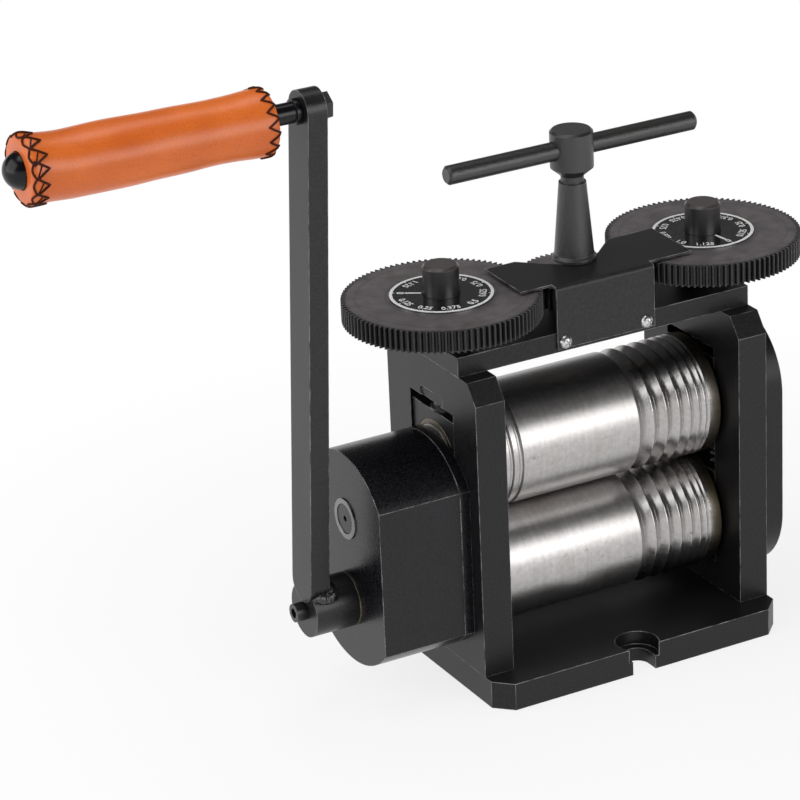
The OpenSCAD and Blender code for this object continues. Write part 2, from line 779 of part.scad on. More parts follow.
module side_cover_outline(inset) {
  r = side_cover_r - inset;
  translate([0, lower_axis_h]) circle(r = r);
  translate([0, side_cover_high]) circle(r = r);
  translate([-r, lower_axis_h]) square([2 * r, side_cover_high - lower_axis_h]);
}

module right_gear_cover() {
  cover_in = half_frame + seat_fit;
  head_x = side_cover_out - box_head_h - face_gap;
  color([0.12, 0.12, 0.13]) difference() {
    union() {
      difference() {
        span_x(cover_in, side_cover_out) side_cover_outline(0);
        span_x(cover_in - over, side_cover_out - side_cover_wall) side_cover_outline(side_cover_wall);
      }
      for (sy = [-1, 1])
        rod_x(side_boss_r, cover_in, side_cover_out - side_cover_wall / 2, sy * side_boss_y, side_boss_z);
    }
    for (sy = [-1, 1]) {
      rod_x(box_screw_r + face_gap, cover_in - over, side_cover_out + over, sy * side_boss_y, side_boss_z);
      rod_x(box_head_r + seat_fit, head_x, side_cover_out + over, sy * side_boss_y, side_boss_z);
    }
  }
}

module right_cover_screws() {
  head_x = side_cover_out - box_head_h - face_gap;
  color([0.08, 0.08, 0.09]) for (sy = [-1, 1])
    translate([head_x, sy * side_boss_y, side_boss_z]) rotate([0, 90, 0])
      socket_screw(box_head_r, box_head_h, box_screw_r, head_x - half_frame + side_screw_grip - face_gap);
}

// Sheet guard over the pinion

module gear_guard() {
  half_w = guard_w / 2;
  bend_y = guard_front + guard_bend;
  bend_z = sheet_high - guard_bend;
  notch_foot = tee_shaft_d / 2 + shank_hole_gap;
  color([0.16, 0.16, 0.17]) difference() {
    union() {
      block([-half_w, guard_front, guard_low], [half_w, guard_front + sheet_t, bend_z]);
      intersection() {
        block([-half_w, guard_front, bend_z], [half_w, bend_y, sheet_high]);
        difference() {
          rod_x(guard_bend, -half_w, half_w, bend_y, bend_z);
          rod_x(guard_bend - sheet_t, -half_w - over, half_w + over, bend_y, bend_z);
        }
      }
      translate([0, 0, sheet_low]) linear_extrude(sheet_t) polygon([[-half_w, bend_y], [half_w, bend_y],
        [half_w, -wing_front], [right_wing - sheet_t, -wing_front], [right_wing, wing_back],
        [notch_half, wing_back - sheet_t], [notch_foot, -notch_foot], [-notch_foot, -notch_foot],
        [-notch_half, wing_back - sheet_t], [-left_wing, wing_back - sheet_t],
        [-left_wing - sheet_t, -wing_front], [-half_w, -wing_front]]);
    }
    rod_z(notch_foot, sheet_low - over, sheet_high + over);
    for (sx = [-1, 1])
      translate([sx * guard_screw_span / 2, guard_front - over, guard_screw_z]) rotate([-90, 0, 0])
        cylinder(r = guard_screw_r + face_gap / 2, h = sheet_t + 2 * over);
  }
}

module guard_screws() {
  cross_len = guard_head_d * cross_len_share;
  cross_w = guard_head_d * cross_w_share;
  cross_depth = guard_head_h * socket_depth_share;
  dome_r = (pow(guard_head_d / 2, 2) + pow(guard_head_h, 2)) / (2 * guard_head_h);
  color([0.86, 0.86, 0.88]) for (sx = [-1, 1])
    translate([sx * guard_screw_span / 2, guard_front - seat_fit, guard_screw_z]) rotate([90, 0, 0])
      difference() {
        union() {
          intersection() {
            rod_z(guard_head_d / 2, 0, guard_head_h);
            translate([0, 0, guard_head_h - dome_r]) sphere(r = dome_r);
          }
          rod_z(guard_screw_r, -guard_screw_grip, cross_w);
        }
        for (a = [0, 90])
          rotate([0, 0, a + cross_turn])
            translate([-cross_len / 2, -cross_w / 2, guard_head_h - cross_depth])
            cube([cross_len, cross_w, guard_head_h]);
      }
}

// Adjusting screws, nuts and dials. Each is made on the side of +X.

module screw_nut() {
  difference() {
    union() {
      rod_z(nut_spigot_d / 2, plate_top + seat_fit, bar_top + over);
      rod_z(nut_d / 2, bar_top + seat_fit, nut_top);
    }
    rod_z(thread_d / 2 + run_fit, plate_top - over, nut_top + over);
    rod_z(screw_d / 2 + face_gap, nut_top - nut_seat_depth, nut_top + over);
  }
}

module left_screw_nut() {
  color([0.10, 0.10, 0.11]) translate([-screw_x, 0, 0]) screw_nut();
}

module right_screw_nut() {
  color([0.10, 0.10, 0.11]) translate([screw_x, 0, 0]) screw_nut();
}

module adjusting_screw() {
  foot_low = upper_axis_h + block_h / 2 + seat_fit;
  top = gear_high + screw_rise;
  slot_low = gear_low + dial_t - open_travel - face_gap;
  slot_high = gear_low + dial_t + key_h + roll_gap + face_gap;
  difference() {
    union() {
      rod_z(foot_d / 2, foot_low, foot_low + foot_t);
      rod_z(thread_d / 2, foot_low, head_low + over);
      rod_z(screw_d / 2, head_low, top - screw_chamfer);
      translate([0, 0, top - screw_chamfer])
        cylinder(r1 = screw_d / 2, r2 = screw_d / 2 - screw_chamfer, h = screw_chamfer);
    }
    block([-key_w / 2 - run_fit, screw_d / 2 - key_out - seat_fit, slot_low],
      [key_w / 2 + run_fit, screw_d, slot_high]);
  }
}

module left_adjusting_screw() {
  color([0.09, 0.09, 0.10]) translate([-screw_x, 0, 0]) adjusting_screw();
}

module right_adjusting_screw() {
  color([0.09, 0.09, 0.10]) translate([screw_x, 0, 0]) adjusting_screw();
}

module dial_gear(first) {
  web_step = dial_t / 2;
  difference() {
    translate([0, 0, gear_low]) linear_extrude(dial_gear_t)
      plain_gear(dial_teeth, dial_m, thin_share, 2, first);
    rod_z(screw_d / 2 + run_fit, gear_low - over, gear_high + over);
    rod_z(dial_d / 2 + seat_fit, dial_top - dial_t, gear_high + over);
    block([-key_w / 2 - seat_fit, 0, gear_low - over],
      [key_w / 2 + seat_fit, screw_d / 2 + key_out + seat_fit, gear_high - dial_t]);
    difference() {
      rod_z(dial_m * dial_teeth * recess_share, gear_low - over, gear_low + web_step);
      rod_z(nut_d / 2, gear_low - 2 * over, gear_low + 2 * web_step);
    }
  }
}

module left_dial_gear() {
  color([0.13, 0.13, 0.14]) translate([-screw_x, 0, 0])
    dial_gear(pinion_teeth % 2 == 0 ? 180 / dial_teeth : 0);
}

module right_dial_gear() {
  color([0.13, 0.13, 0.14]) translate([screw_x, 0, 0]) dial_gear(180 + 180 / dial_teeth);
}

module dial_plate() {
  difference() {
    rod_z(dial_d / 2, dial_top - dial_t + seat_fit, dial_top);
    rod_z(screw_d / 2 + face_gap, dial_top - dial_t - over, dial_top + over);
  }
}

module left_dial_plate() {
  color([0.06, 0.06, 0.07]) translate([-screw_x, 0, 0]) dial_plate();
}

module right_dial_plate() {
  color([0.06, 0.06, 0.07]) translate([screw_x, 0, 0]) dial_plate();
}

module dial_key() {
  block([-key_w / 2, screw_d / 2 - key_out + run_fit, gear_low + dial_t],
    [key_w / 2, screw_d / 2 + key_out, gear_low + dial_t + key_h - seat_fit]);
}

module left_dial_key() {
  color([0.5, 0.5, 0.52]) translate([-screw_x, 0, 0]) dial_key();
}

module right_dial_key() {
  color([0.5, 0.5, 0.52]) translate([screw_x, 0, 0]) dial_key();
}

// Tee handle and its pinion

module tee_stem() {
  shaft_r = tee_shaft_d / 2;
  neck_low = stem_low + tee_stem_h;
  cone_low = neck_low + tee_neck_h;
  hub_top = tee_hub_low + tee_hub_h;
  hub_r = tee_hub_d / 2;
  hub_edge = tee_bar_chamfer;
  color([0.12, 0.12, 0.13]) difference() {
    rotate_extrude() polygon([[0, tee_shaft_low], [shaft_r, tee_shaft_low], [shaft_r, stem_low],
      [tee_rim_d / 2, stem_low], [tee_rim_d / 2, stem_low + tee_rim_h / 2],
      [tee_stem_foot_d / 2, stem_low + tee_rim_h], [tee_stem_top_d / 2, neck_low],
      [tee_neck_d / 2, neck_low], [tee_neck_d / 2, cone_low], [hub_r, tee_hub_low],
      [hub_r, hub_top - hub_edge], [hub_r - hub_edge, hub_top], [0, hub_top]]);
    rod_x(tee_bar_d / 2 + seat_fit, -tee_hub_d, tee_hub_d, 0, tee_bar_h);
    difference() {
      rod_z(tee_shaft_d, plate_top - face_gap - clip_t, plate_top - face_gap);
      rod_z(shaft_r - clip_t / 2, plate_top - 2 * clip_t, plate_top);
    }
  }
}

module tee_bar() {
  half = tee_bar_len / 2;
  r = tee_bar_d / 2;
  color([0.12, 0.12, 0.13]) turned_x([[0, -half], [r - tee_bar_chamfer, -half],
    [r, tee_bar_chamfer - half], [r, half - tee_bar_chamfer], [r - tee_bar_chamfer, half],
    [0, half]], tee_bar_h);
}

module centre_pinion() {
  color([0.14, 0.14, 0.15]) difference() {
    translate([0, 0, pinion_low]) linear_extrude(pinion_t)
      plain_gear(pinion_teeth, dial_m, thin_share, 2, 0);
    rod_z(tee_shaft_d / 2 + seat_fit, pinion_low - over, pinion_high + over);
  }
}

module tee_bush() {
  color([0.72, 0.52, 0.25]) difference() {
    union() {
      rod_z(tee_bush_r, plate_top, bar_top + over);
      rod_z(tee_flange_r, bar_top + seat_fit, pinion_low - face_gap);
    }
    rod_z(tee_shaft_d / 2 + run_fit, plate_top - over, pinion_low + over);
  }
}

module tee_clip() {
  clip_low = plate_top - face_gap - clip_t + seat_fit;
  color([0.3, 0.3, 0.32]) difference() {
    rod_z(tee_shaft_d / 2 + clip_t, clip_low, plate_top - face_gap - seat_fit);
    rod_z(tee_shaft_d / 2 - clip_t / 2 + seat_fit, clip_low - over, plate_top + over);
    block([-clip_t, 0, clip_low - over], [clip_t, tee_shaft_d, plate_top + over]);
  }
}

// Rollers and the gears on them

function roller_points(left_end, right_end) = let (r = roll_d / 2, half = barrel_len / 2,
    j = journal_d / 2, t = tail_d / 2, thrust = thrust_d / 2, shoulder = block_in - face_gap,
    tail_left = left_end < -journal_end ? t : j, tail_right = right_end > journal_end ? t : j)
  concat(
    [[0, left_end], [tail_left, left_end], [tail_left, max(left_end, -journal_end)],
      [j, max(left_end, -journal_end)], [j, -shoulder], [thrust, -shoulder], [thrust, -half],
      [r - barrel_chamfer, -half], [r, barrel_chamfer - half]],
    [for (i = [0:len(groove_shares) - 1])
      let (w = groove_shares[i] * groove_w, x = grooves_x + groove_run(i),
        dip = (w - groove_land) / 2 / tan(groove_angle / 2))
      for (p = [[r, x + groove_land / 2], [r - dip, x + w / 2], [r, x + w - groove_land / 2]]) p],
    [[r, half - barrel_chamfer], [r - barrel_chamfer, half], [thrust, half], [thrust, shoulder],
      [j, shoulder], [j, min(right_end, journal_end)], [tail_right, min(right_end, journal_end)],
      [tail_right, right_end], [0, right_end]]);

module shaft_keyway(x0, x1, z) {
  block([x0, -shaft_key_w / 2 - seat_fit, z + tail_d / 2 - shaft_key_h / 2 - seat_fit],
    [x1, shaft_key_w / 2 + seat_fit, z + tail_d]);
}

module shaft_key(x0, x1, z) {
  block([x0, -shaft_key_w / 2, z + tail_d / 2 - shaft_key_h / 2],
    [x1, shaft_key_w / 2, z + tail_d / 2 + shaft_key_h / 2]);
}

module gear_bore(x0, x1, z) {
  rod_x(tail_d / 2 + seat_fit, x0 - over, x1 + over, 0, z);
  block([x0 - over, -shaft_key_w / 2 - seat_fit, z],
    [x1 + over, shaft_key_w / 2 + seat_fit, z + tail_d / 2 + shaft_key_h / 2 + seat_fit]);
}

lower_left_end = second_x;
tail_right_end = tie_x1;

module lower_roller() {
  color([0.78, 0.78, 0.80]) difference() {
    turned_x(roller_points(lower_left_end, tail_right_end), lower_axis_h);
    rod_x(pilot_r + run_fit, lower_left_end - over, lower_left_end + pilot_len + face_gap, 0, lower_axis_h);
    shaft_keyway(second_x - over, second_x + second_face, lower_axis_h);
    shaft_keyway(tie_x0, tie_x1 + over, lower_axis_h);
  }
}

module upper_roller() {
  color([0.78, 0.78, 0.80]) difference() {
    turned_x(roller_points(-journal_end, tail_right_end), upper_axis_h);
    for (i = [0:round_grooves - 1]) {
      groove_x = (i + 1 - round_growth_share) * round_groove_pitch - barrel_len / 2;
      groove_r = round_groove_d / 2 * (1 + i * round_growth_share);
      translate([groove_x, 0, upper_axis_h]) rotate([90, 0, 90]) rotate_extrude()
        translate([roll_d / 2, 0]) circle(r = groove_r);
    }
    shaft_keyway(tie_x0, tie_x1 + over, upper_axis_h);
  }
}

module roller_drive_gear() {
  color([0.45, 0.45, 0.47]) difference() {
    translate([0, 0, lower_axis_h]) span_x(second_x, second_x + second_face)
      plain_gear(second_gear_teeth, second_m, thin_share, 4, 90);
    gear_bore(second_x, second_x + second_face, lower_axis_h);
  }
}

module drive_gear_key() {
  color([0.6, 0.6, 0.62]) shaft_key(second_x, second_x + second_face - seat_fit, lower_axis_h);
}

module tie_gear(first) {
  span_x(tie_x0, tie_x1) gear_outline(tie_teeth, tie_m, tie_tip, tie_root, tie_thin_share, 4, first);
}

module lower_tie_gear() {
  color([0.45, 0.45, 0.47]) difference() {
    translate([0, 0, lower_axis_h]) tie_gear(90);
    gear_bore(tie_x0, tie_x1, lower_axis_h);
  }
}

module upper_tie_gear() {
  color([0.45, 0.45, 0.47]) difference() {
    translate([0, 0, upper_axis_h]) tie_gear(270 + 180 / tie_teeth);
    gear_bore(tie_x0, tie_x1, upper_axis_h);
  }
}

module lower_tie_key() {
  color([0.6, 0.6, 0.62]) shaft_key(tie_x0 + seat_fit, tie_x1, lower_axis_h);
}

module upper_tie_key() {
  color([0.6, 0.6, 0.62]) shaft_key(tie_x0 + seat_fit, tie_x1, upper_axis_h);
}

// Countershaft in the gearbox

module countershaft() {
  pinion_x1 = second_x + second_face + gear_air - face_gap;
  drill_r = counter_r / 5;
  drill_depth = counter_r / 2;
  color([0.5, 0.5, 0.52]) difference() {
    union() {
      rod_x(counter_r, box_out - ring_out + face_gap, left_face - face_gap, 0, counter_h);
      translate([0, 0, counter_h]) span_x(second_x - face_gap, pinion_x1)
        plain_gear(second_pinion_teeth, second_m, thin_share, 4, 270 + 180 / second_pinion_teeth);
    }
    rod_x(drill_r, box_out - ring_out - over, box_out - ring_out + face_gap + drill_depth, 0, counter_h);
  }
}

module countershaft_gear() {
  color([0.45, 0.45, 0.47]) difference() {
    translate([0, 0, counter_h]) span_x(first_x, first_x + first_face)
      plain_gear(first_gear_teeth, first_m, thin_share, 4, 270 + 180 / first_gear_teeth);
    rod_x(counter_r + seat_fit, first_x - over, first_x + first_face + over, 0, counter_h);
  }
}

// Crank and handle

module in_crank() {
  translate([0, 0, lower_axis_h]) rotate([crank_lean, 0, 0]) children();
}

module arm_outline() {
  half = arm_w / 2;
  union() {
    translate([-half, nose_rise]) square([arm_w, crank_len - nose_rise]);
    translate([0, crank_len]) circle(r = half);
    translate([0, nose_rise]) circle(r = half);
  }
}

module crank_arm() {
  color([0.13, 0.13, 0.14]) in_crank() difference() {
    span_x(arm_x0, arm_x1) arm_outline();
    rod_x(spindle_thread_d / 2 + seat_fit, arm_x0 - over, arm_x1 + over, 0, crank_len);
  }
}

// The hub's outer end has a seat for the arm's rounded foot.
module crank_hub() {
  color([0.12, 0.12, 0.13]) in_crank() difference() {
    rod_x(hub_d / 2, hub_x0, hub_x1);
    rod_x(arm_w / 2 + seat_fit, hub_x0 - over, arm_x1 + seat_fit, 0, nose_rise);
    rod_x(cap_screw_r + face_gap / 2, hub_x0 - over, shaft_end_x + over);
    rod_x(crank_shaft_d / 2 + seat_fit, shaft_end_x - seat_fit, hub_x1 + over);
  }
}

module hub_weld() {
  r = hub_d / 2 + seat_fit;
  half = arm_w * weld_share;
  color([0.2, 0.2, 0.2]) in_crank() intersection() {
    difference() {
      translate([arm_x1 + seat_fit, 0, 0]) rotate([0, 90, 0])
        cylinder(r1 = r + weld_size, r2 = r, h = weld_size);
      rod_x(r, arm_x1 - over, arm_x1 + weld_size + over);
    }
    block([arm_x1, -half, 0], [arm_x1 + 2 * weld_size, half, hub_d]);
  }
}

module crank_pinion_shaft() {
  shaft_r = crank_shaft_d / 2;
  color([0.5, 0.5, 0.52]) in_crank() difference() {
    union() {
      rod_x(shaft_r, shaft_end_x, first_x + over);
      rotate([-crank_lean, 0, 0]) span_x(first_x, first_x + first_face + face_gap)
        plain_gear(first_pinion_teeth, first_m, thin_share, 4, 90);
      rod_x(pilot_r, first_x + first_face, lower_left_end + pilot_len);
    }
    rod_x(cap_screw_r + seat_fit, shaft_end_x - over, shaft_end_x + cap_screw_grip + face_gap);
  }
}

module crank_cap_screw() {
  color([0.07, 0.07, 0.08]) in_crank()
    translate([hub_x0 - seat_fit, 0, 0]) rotate([0, -90, 0])
      socket_screw(cap_head_d / 2, cap_head_h, cap_screw_r, shaft_end_x + cap_screw_grip - hub_x0);
}

module grip_spindle() {
  collar_x = arm_x0 - seat_fit - spindle_collar_t;
  thread_x1 = arm_x1 + spindle_nut_t + spindle_thread_d / 8;
  color([0.06, 0.06, 0.07]) in_crank() translate([0, 0, crank_len]) {
    rod_x(spindle_thread_d / 2, collar_x, thread_x1);
    rod_x(spindle_collar_d / 2, collar_x, arm_x0 - seat_fit);
    rod_x(spindle_d / 2, core_x1 + face_gap, collar_x + spindle_collar_t / 2);
    rod_x(pivot_d / 2, dome_x - face_gap, grip_x1 + face_gap);
    rod_x(spindle_d / 2, dome_x - face_gap, core_x0 - face_gap);
    intersection() {
      translate([dome_x, 0, 0]) sphere(r = dome_d / 2);
      rod_x(dome_d, dome_x - dome_d, dome_x);
    }
  }
}

module spindle_nut() {
  color([0.1, 0.1, 0.11]) in_crank() translate([0, 0, crank_len]) difference() {
    translate([arm_x1 + seat_fit, 0, 0]) rotate([0, 90, 0])
      cylinder(r = nut_flats / sqrt(3), h = spindle_nut_t, $fn = 6);
    rod_x(spindle_thread_d / 2 + seat_fit, arm_x1 - over, arm_x1 + spindle_nut_t + over);
  }
}

core_r = grip_d / 2 - leather_t;

module grip_core() {
  color([0.35, 0.25, 0.18]) in_crank() translate([0, 0, crank_len]) difference() {
    rod_x(core_r, core_x0, core_x1);
    rod_x(pivot_d / 2 + run_fit, grip_x0 - over, grip_x1 + over);
  }
}

// The leather swells near both ends, rounds off at them and folds in over the ends of the core.
leather_stations = 18;
edge_steps = 5;
swell_place_share = 0.08;
swell_spread_share = 0.08;
belly_share = 0.5;
function bump(s) = exp(-pow((s - swell_place_share) / swell_spread_share, 2));
function leather_r(s) = grip_d / 2
  + leather_swell * (bump(s) + bump(1 - s) + belly_share * sin(180 * s));
function edge_drop(d) = d >= leather_edge ? 0
  : leather_edge - sqrt(pow(leather_edge, 2) - pow(leather_edge - d, 2));
function leather_point(d) = [leather_r(d / grip_len) - edge_drop(min(d, grip_len - d)), grip_x0 + d];

module grip_leather() {
  lip_r = dome_d / 2;
  edge = [for (k = [0:edge_steps - 1]) leather_edge * (1 - cos(90 * k / edge_steps))];
  middle = [for (i = [0:leather_stations])
    leather_edge + (grip_len - 2 * leather_edge) * i / leather_stations];
  color([0.76, 0.36, 0.16]) in_crank() translate([0, 0, crank_len]) difference() {
    turned_x(concat([[0, grip_x0]],
      [for (d = edge) leather_point(d)],
      [for (d = middle) leather_point(d)],
      [for (k = [1:edge_steps]) leather_point(grip_len - edge[edge_steps - k])],
      [[0, grip_x1]]));
    rod_x(core_r + seat_fit, grip_x0 + leather_t, grip_x1 - leather_t);
    rod_x(lip_r, grip_x0 - over, grip_x0 + leather_t + over);
    rod_x(lip_r, grip_x1 - leather_t - over, grip_x1 + over);
  }
}

base_plate();
left_side_plate();
right_side_plate();
bridge_bar();
base_screws();
bar_screws();
left_lower_block();
right_lower_block();
left_lower_bush();
right_lower_bush();
lift_springs();
gearbox_back_plate();
gearbox_cover();
gearbox_screws();
countershaft_ring();
crank_bush();
right_gear_cover();
right_cover_screws();
gear_guard();
guard_screws();
left_screw_nut();
right_screw_nut();
tee_bush();
crank_arm();
crank_hub();
hub_weld();
crank_pinion_shaft();
crank_cap_screw();
grip_spindle();
spindle_nut();
grip_core();
grip_leather();
countershaft();
countershaft_gear();
lower_roller();
roller_drive_gear();
drive_gear_key();
lower_tie_gear();
lower_tie_key();
upper_roller();
upper_tie_gear();
upper_tie_key();
left_upper_block();
right_upper_block();
left_upper_bush();
right_upper_bush();
left_adjusting_screw();
right_adjusting_screw();
left_dial_gear();
right_dial_gear();
left_dial_plate();
right_dial_plate();
left_dial_key();
right_dial_key();
tee_stem();
tee_bar();
centre_pinion();
tee_clip();
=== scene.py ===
# %% [markdown]
# # A hand-cranked rolling mill
# A jeweller's mill squeezes wire and sheet between two hardened rollers. This lesson dresses its
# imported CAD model: the steel parts keep their exact shapes and get finishes, and what CAD can't
# hold is modelled here, such as the sewn leather grip, the printed dials, the weld and the springs.
# The model comes first, as a fixed frame. Every length below is in metres in that frame, with +X
# along the rollers, +Y to the back and +Z up.

import math
import bmesh
import bpy
from mathutils import Matrix, Vector, noise


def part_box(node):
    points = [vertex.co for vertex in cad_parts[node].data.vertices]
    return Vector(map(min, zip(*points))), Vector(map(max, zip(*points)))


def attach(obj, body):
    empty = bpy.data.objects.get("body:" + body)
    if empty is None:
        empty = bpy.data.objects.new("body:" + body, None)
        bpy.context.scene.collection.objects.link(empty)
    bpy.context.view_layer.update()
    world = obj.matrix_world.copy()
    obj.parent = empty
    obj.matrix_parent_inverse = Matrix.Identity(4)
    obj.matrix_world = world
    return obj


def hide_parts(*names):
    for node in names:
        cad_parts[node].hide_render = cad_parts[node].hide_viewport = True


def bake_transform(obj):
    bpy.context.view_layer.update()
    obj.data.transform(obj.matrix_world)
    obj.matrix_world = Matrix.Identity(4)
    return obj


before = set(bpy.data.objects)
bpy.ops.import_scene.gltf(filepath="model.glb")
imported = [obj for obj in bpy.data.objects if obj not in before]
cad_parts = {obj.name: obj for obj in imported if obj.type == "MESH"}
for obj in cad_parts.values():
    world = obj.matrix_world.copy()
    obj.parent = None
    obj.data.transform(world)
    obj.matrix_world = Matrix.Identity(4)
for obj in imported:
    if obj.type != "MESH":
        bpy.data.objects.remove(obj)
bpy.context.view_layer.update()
MM = 0.001

# %% [markdown]
# ## The camera
# A product photographer stands well back with a long lens, so that the mill looks square. The
# place, the tilt and the lens come from fitting straight edges of the frame to the photograph. A
# camera's matrix holds its right, up and back directions as columns, which keeps its slight roll
# without angles.

# %% Camera
CAMERA_PLACE = (-0.72439, -1.22147, 0.71706)
CAMERA_RIGHT = (0.876272, -0.479942, -0.042463)
CAMERA_UP = (0.223365, 0.32656, 0.918405)
CAMERA_BACK = (-0.426914, -0.814257, 0.393357)
LENS_MM = 166.05
SENSOR_MM = 36.0


def link(thing):
    bpy.context.scene.collection.objects.link(thing)
    return thing


camera_data = bpy.data.cameras.new("photo_camera")
camera_data.sensor_width = SENSOR_MM
camera_data.lens = LENS_MM
camera_data.clip_start, camera_data.clip_end = 0.05, 20.0
camera = link(bpy.data.objects.new("photo_camera", camera_data))
directions = Matrix((CAMERA_RIGHT, CAMERA_UP, CAMERA_BACK)).transposed().to_4x4()
camera.matrix_world = Matrix.Translation(CAMERA_PLACE) @ directions
bpy.context.scene.camera = camera
print("lens", camera_data.lens, "mm, distance", round(camera.location.length, 3), "m")

# %% [markdown]
# ## Finishes as sums
# A finish is a node tree, and its maths reads best as a sum. One small class wraps an output
# socket, so that `1 - mask * 0.4` adds its Math nodes by itself.

# %% Sockets that do sums
class Wire:
    def __init__(self, nodes, socket):
        self.nodes, self.socket = nodes, socket

    def maths(self, operation, first, second):
        return self.nodes.add("ShaderNodeMath", {"operation": operation}, {0: first, 1: second})

    def __add__(self, other):
        return self.maths("ADD", self, other)

    def __radd__(self, other):
        return self.maths("ADD", other, self)

    def __sub__(self, other):
        return self.maths("SUBTRACT", self, other)

    def __rsub__(self, other):
        return self.maths("SUBTRACT", other, self)

    def __mul__(self, other):
        return self.maths("MULTIPLY", self, other)

    def __rmul__(self, other):
        return self.maths("MULTIPLY", other, self)

    def clamp(self):
        return self.nodes.add("ShaderNodeClamp", {}, {"Value": self})


print("sockets can be added, subtracted and multiplied")

# %% [markdown]
# ## One way to add a node
# Every other node comes from one method, which sets the node's own settings first and its sockets
# after. A material's tree has a Principled shader as well, whose constants are set once and whose
# changing values come through `wear`.

# %% Node trees and finishes
class Nodes:
    def __init__(self, tree, output_kind):
        tree.nodes.clear()
        self.tree = tree
        self.output = tree.nodes.new(output_kind)

    def add(self, kind, settings, sockets, output=0):
        node = self.tree.nodes.new(kind)
        for key, value in settings.items():
            if key == "stops":
                self.set_stops(node.color_ramp, value)
            else:
                setattr(node, key, value)
        for key, value in sockets.items():
            self.feed(self.find(node.inputs, key), value)
        return Wire(self, self.find(node.outputs, output))

    def find(self, sockets, key):
        if isinstance(key, int):
            return sockets[key]
        return next((s for s in sockets if s.identifier == key), None) or sockets[key]

    def feed(self, socket, value):
        if isinstance(value, Wire):
            self.tree.links.new(value.socket, socket)
        elif isinstance(value, tuple) and socket.type == "RGBA":
            socket.default_value = (*value, 1.0)
        else:
            socket.default_value = value

    def set_stops(self, ramp, stops):
        while len(ramp.elements) < len(stops):
            ramp.elements.new(0.5)
        for element, (position, value) in zip(ramp.elements, stops):
            element.position = position
            element.color = (value, value, value, 1.0)

    def show(self, surface):
        self.feed(self.output.inputs["Surface"], surface)


class Finish(Nodes):
    def __init__(self, name, colour, roughness, metallic=0.0, specular=0.5):
        self.material = bpy.data.materials.new(name)
        self.material.use_nodes = True
        self.material.diffuse_color = (*colour, 1.0)
        super().__init__(self.material.node_tree, "ShaderNodeOutputMaterial")
        constants = {"Base Color": colour, "Roughness": roughness, "Metallic": metallic,
                     "Specular IOR Level": specular}
        self.surface = self.add("ShaderNodeBsdfPrincipled", {}, constants)
        self.show(self.surface)
        self.place = self.add("ShaderNodeTexCoord", {}, {}, "Object")

    def wear(self, **values):
        shader = self.surface.socket.node
        for name, value in values.items():
            self.feed(shader.inputs[name.replace("_", " ")], value)


print("finishes can be made")

# %% [markdown]
# ## Patterns that several finishes share
# Metal is never one flat value. Cloudy noise stands for uneven blacking, fine noise for the blasted
# or scaled skin, and noise that is squeezed along one direction for tool marks. The Bevel node
# looks at the neighbourhood of a point and rounds its normal at an edge, which a sharp CAD edge
# needs to catch light. Where that rounded normal leaves the true one, an edge is near, and the
# finishes paint it paler there: partly wear from handling, partly a painted highlight.

# %% Pattern helpers
EVEN = (1.0, 1.0, 1.0)


def cloud(finish, scale, detail=3.0, stretch=EVEN, rough=0.5):
    spot = finish.add("ShaderNodeMapping", {}, {"Vector": finish.place, "Scale": stretch})
    return finish.add("ShaderNodeTexNoise", {},
                      {"Vector": spot, "Scale": scale, "Detail": detail, "Roughness": rough})


def ramp(finish, factor, stops):
    return finish.add("ShaderNodeValToRGB", {"stops": stops}, {"Fac": factor})


def blend_colours(finish, factor, first, second):
    return finish.add("ShaderNodeMix", {"data_type": "RGBA"},
                      {"Factor_Float": factor, "A_Color": first, "B_Color": second},
                      "Result_Color")


def rounded_edge(finish, radius):
    return finish.add("ShaderNodeBevel", {"samples": 6}, {"Radius": radius})


def edge_mask(finish, rounded, gain):
    true = finish.add("ShaderNodeNewGeometry", {}, {}, "Normal")
    along = finish.add("ShaderNodeVectorMath", {"operation": "DOT_PRODUCT"},
                       {0: rounded, 1: true}, "Value")
    return ((1.0 - along) * gain).clamp()


def facing_up(finish):
    normal = finish.add("ShaderNodeNewGeometry", {}, {}, "True Normal")
    return finish.add("ShaderNodeSeparateXYZ", {}, {"Vector": normal}, "Z").clamp()


def bumps(finish, height, depth, under=None):
    sockets = {"Height": height, "Distance": depth, "Strength": 1.0}
    if under is not None:
        sockets["Normal"] = under
    return finish.add("ShaderNodeBump", {}, sockets)


def shade(colour, factor):
    return tuple(c * factor for c in colour)


print("patterns: cloud, ramp, blend_colours, rounded_edge, edge_mask, facing_up, bumps")

# %% [markdown]
# ## Blackened steel
# The frame, the gearbox and the crank are milled steel with a chemical blacking. It is nearly
# black, slightly blue, shines softly and shows paler edges, partly worn and partly a painted
# highlight. Its base is dark, so most of the work goes into the roughness: a cloudy change, a fine
# grain, and edges that are smoother and paler.

# %% Blackened steel
# Pale edge colour: partly worn blacking, partly a painted highlight.
WORN_AND_HIGHLIGHT_EDGE = (0.42, 0.42, 0.43)


def black_steel(name, colour=(0.0055, 0.0055, 0.0065), roughness=0.36, specular=0.34,
                grain=0.00004):
    finish = Finish(name, colour, roughness, 0.0, specular)
    clouds = cloud(finish, 28.0)
    fine = cloud(finish, 1000.0)
    rounded = rounded_edge(finish, 0.5 * MM)
    patchy = ramp(finish, cloud(finish, 160.0, 4.0), [(0.38, 0.15), (0.62, 1.0)])
    # The edge mask paints edges paler: partly wear, partly a painted highlight.
    worn_and_highlit = edge_mask(finish, rounded, 14.0) * patchy
    grains = ramp(finish, fine, [(0.3, 0.0), (0.7, 1.0)])
    dark = blend_colours(finish, grains, shade(colour, 0.5), shade(colour, 2.2))
    finish.wear(Base_Color=blend_colours(finish, worn_and_highlit, dark, WORN_AND_HIGHLIGHT_EDGE),
                Roughness=roughness - 0.12 + clouds * 0.08 + fine * 0.2 - worn_and_highlit * 0.1,
                Normal=bumps(finish, fine, grain, rounded))
    return finish.material


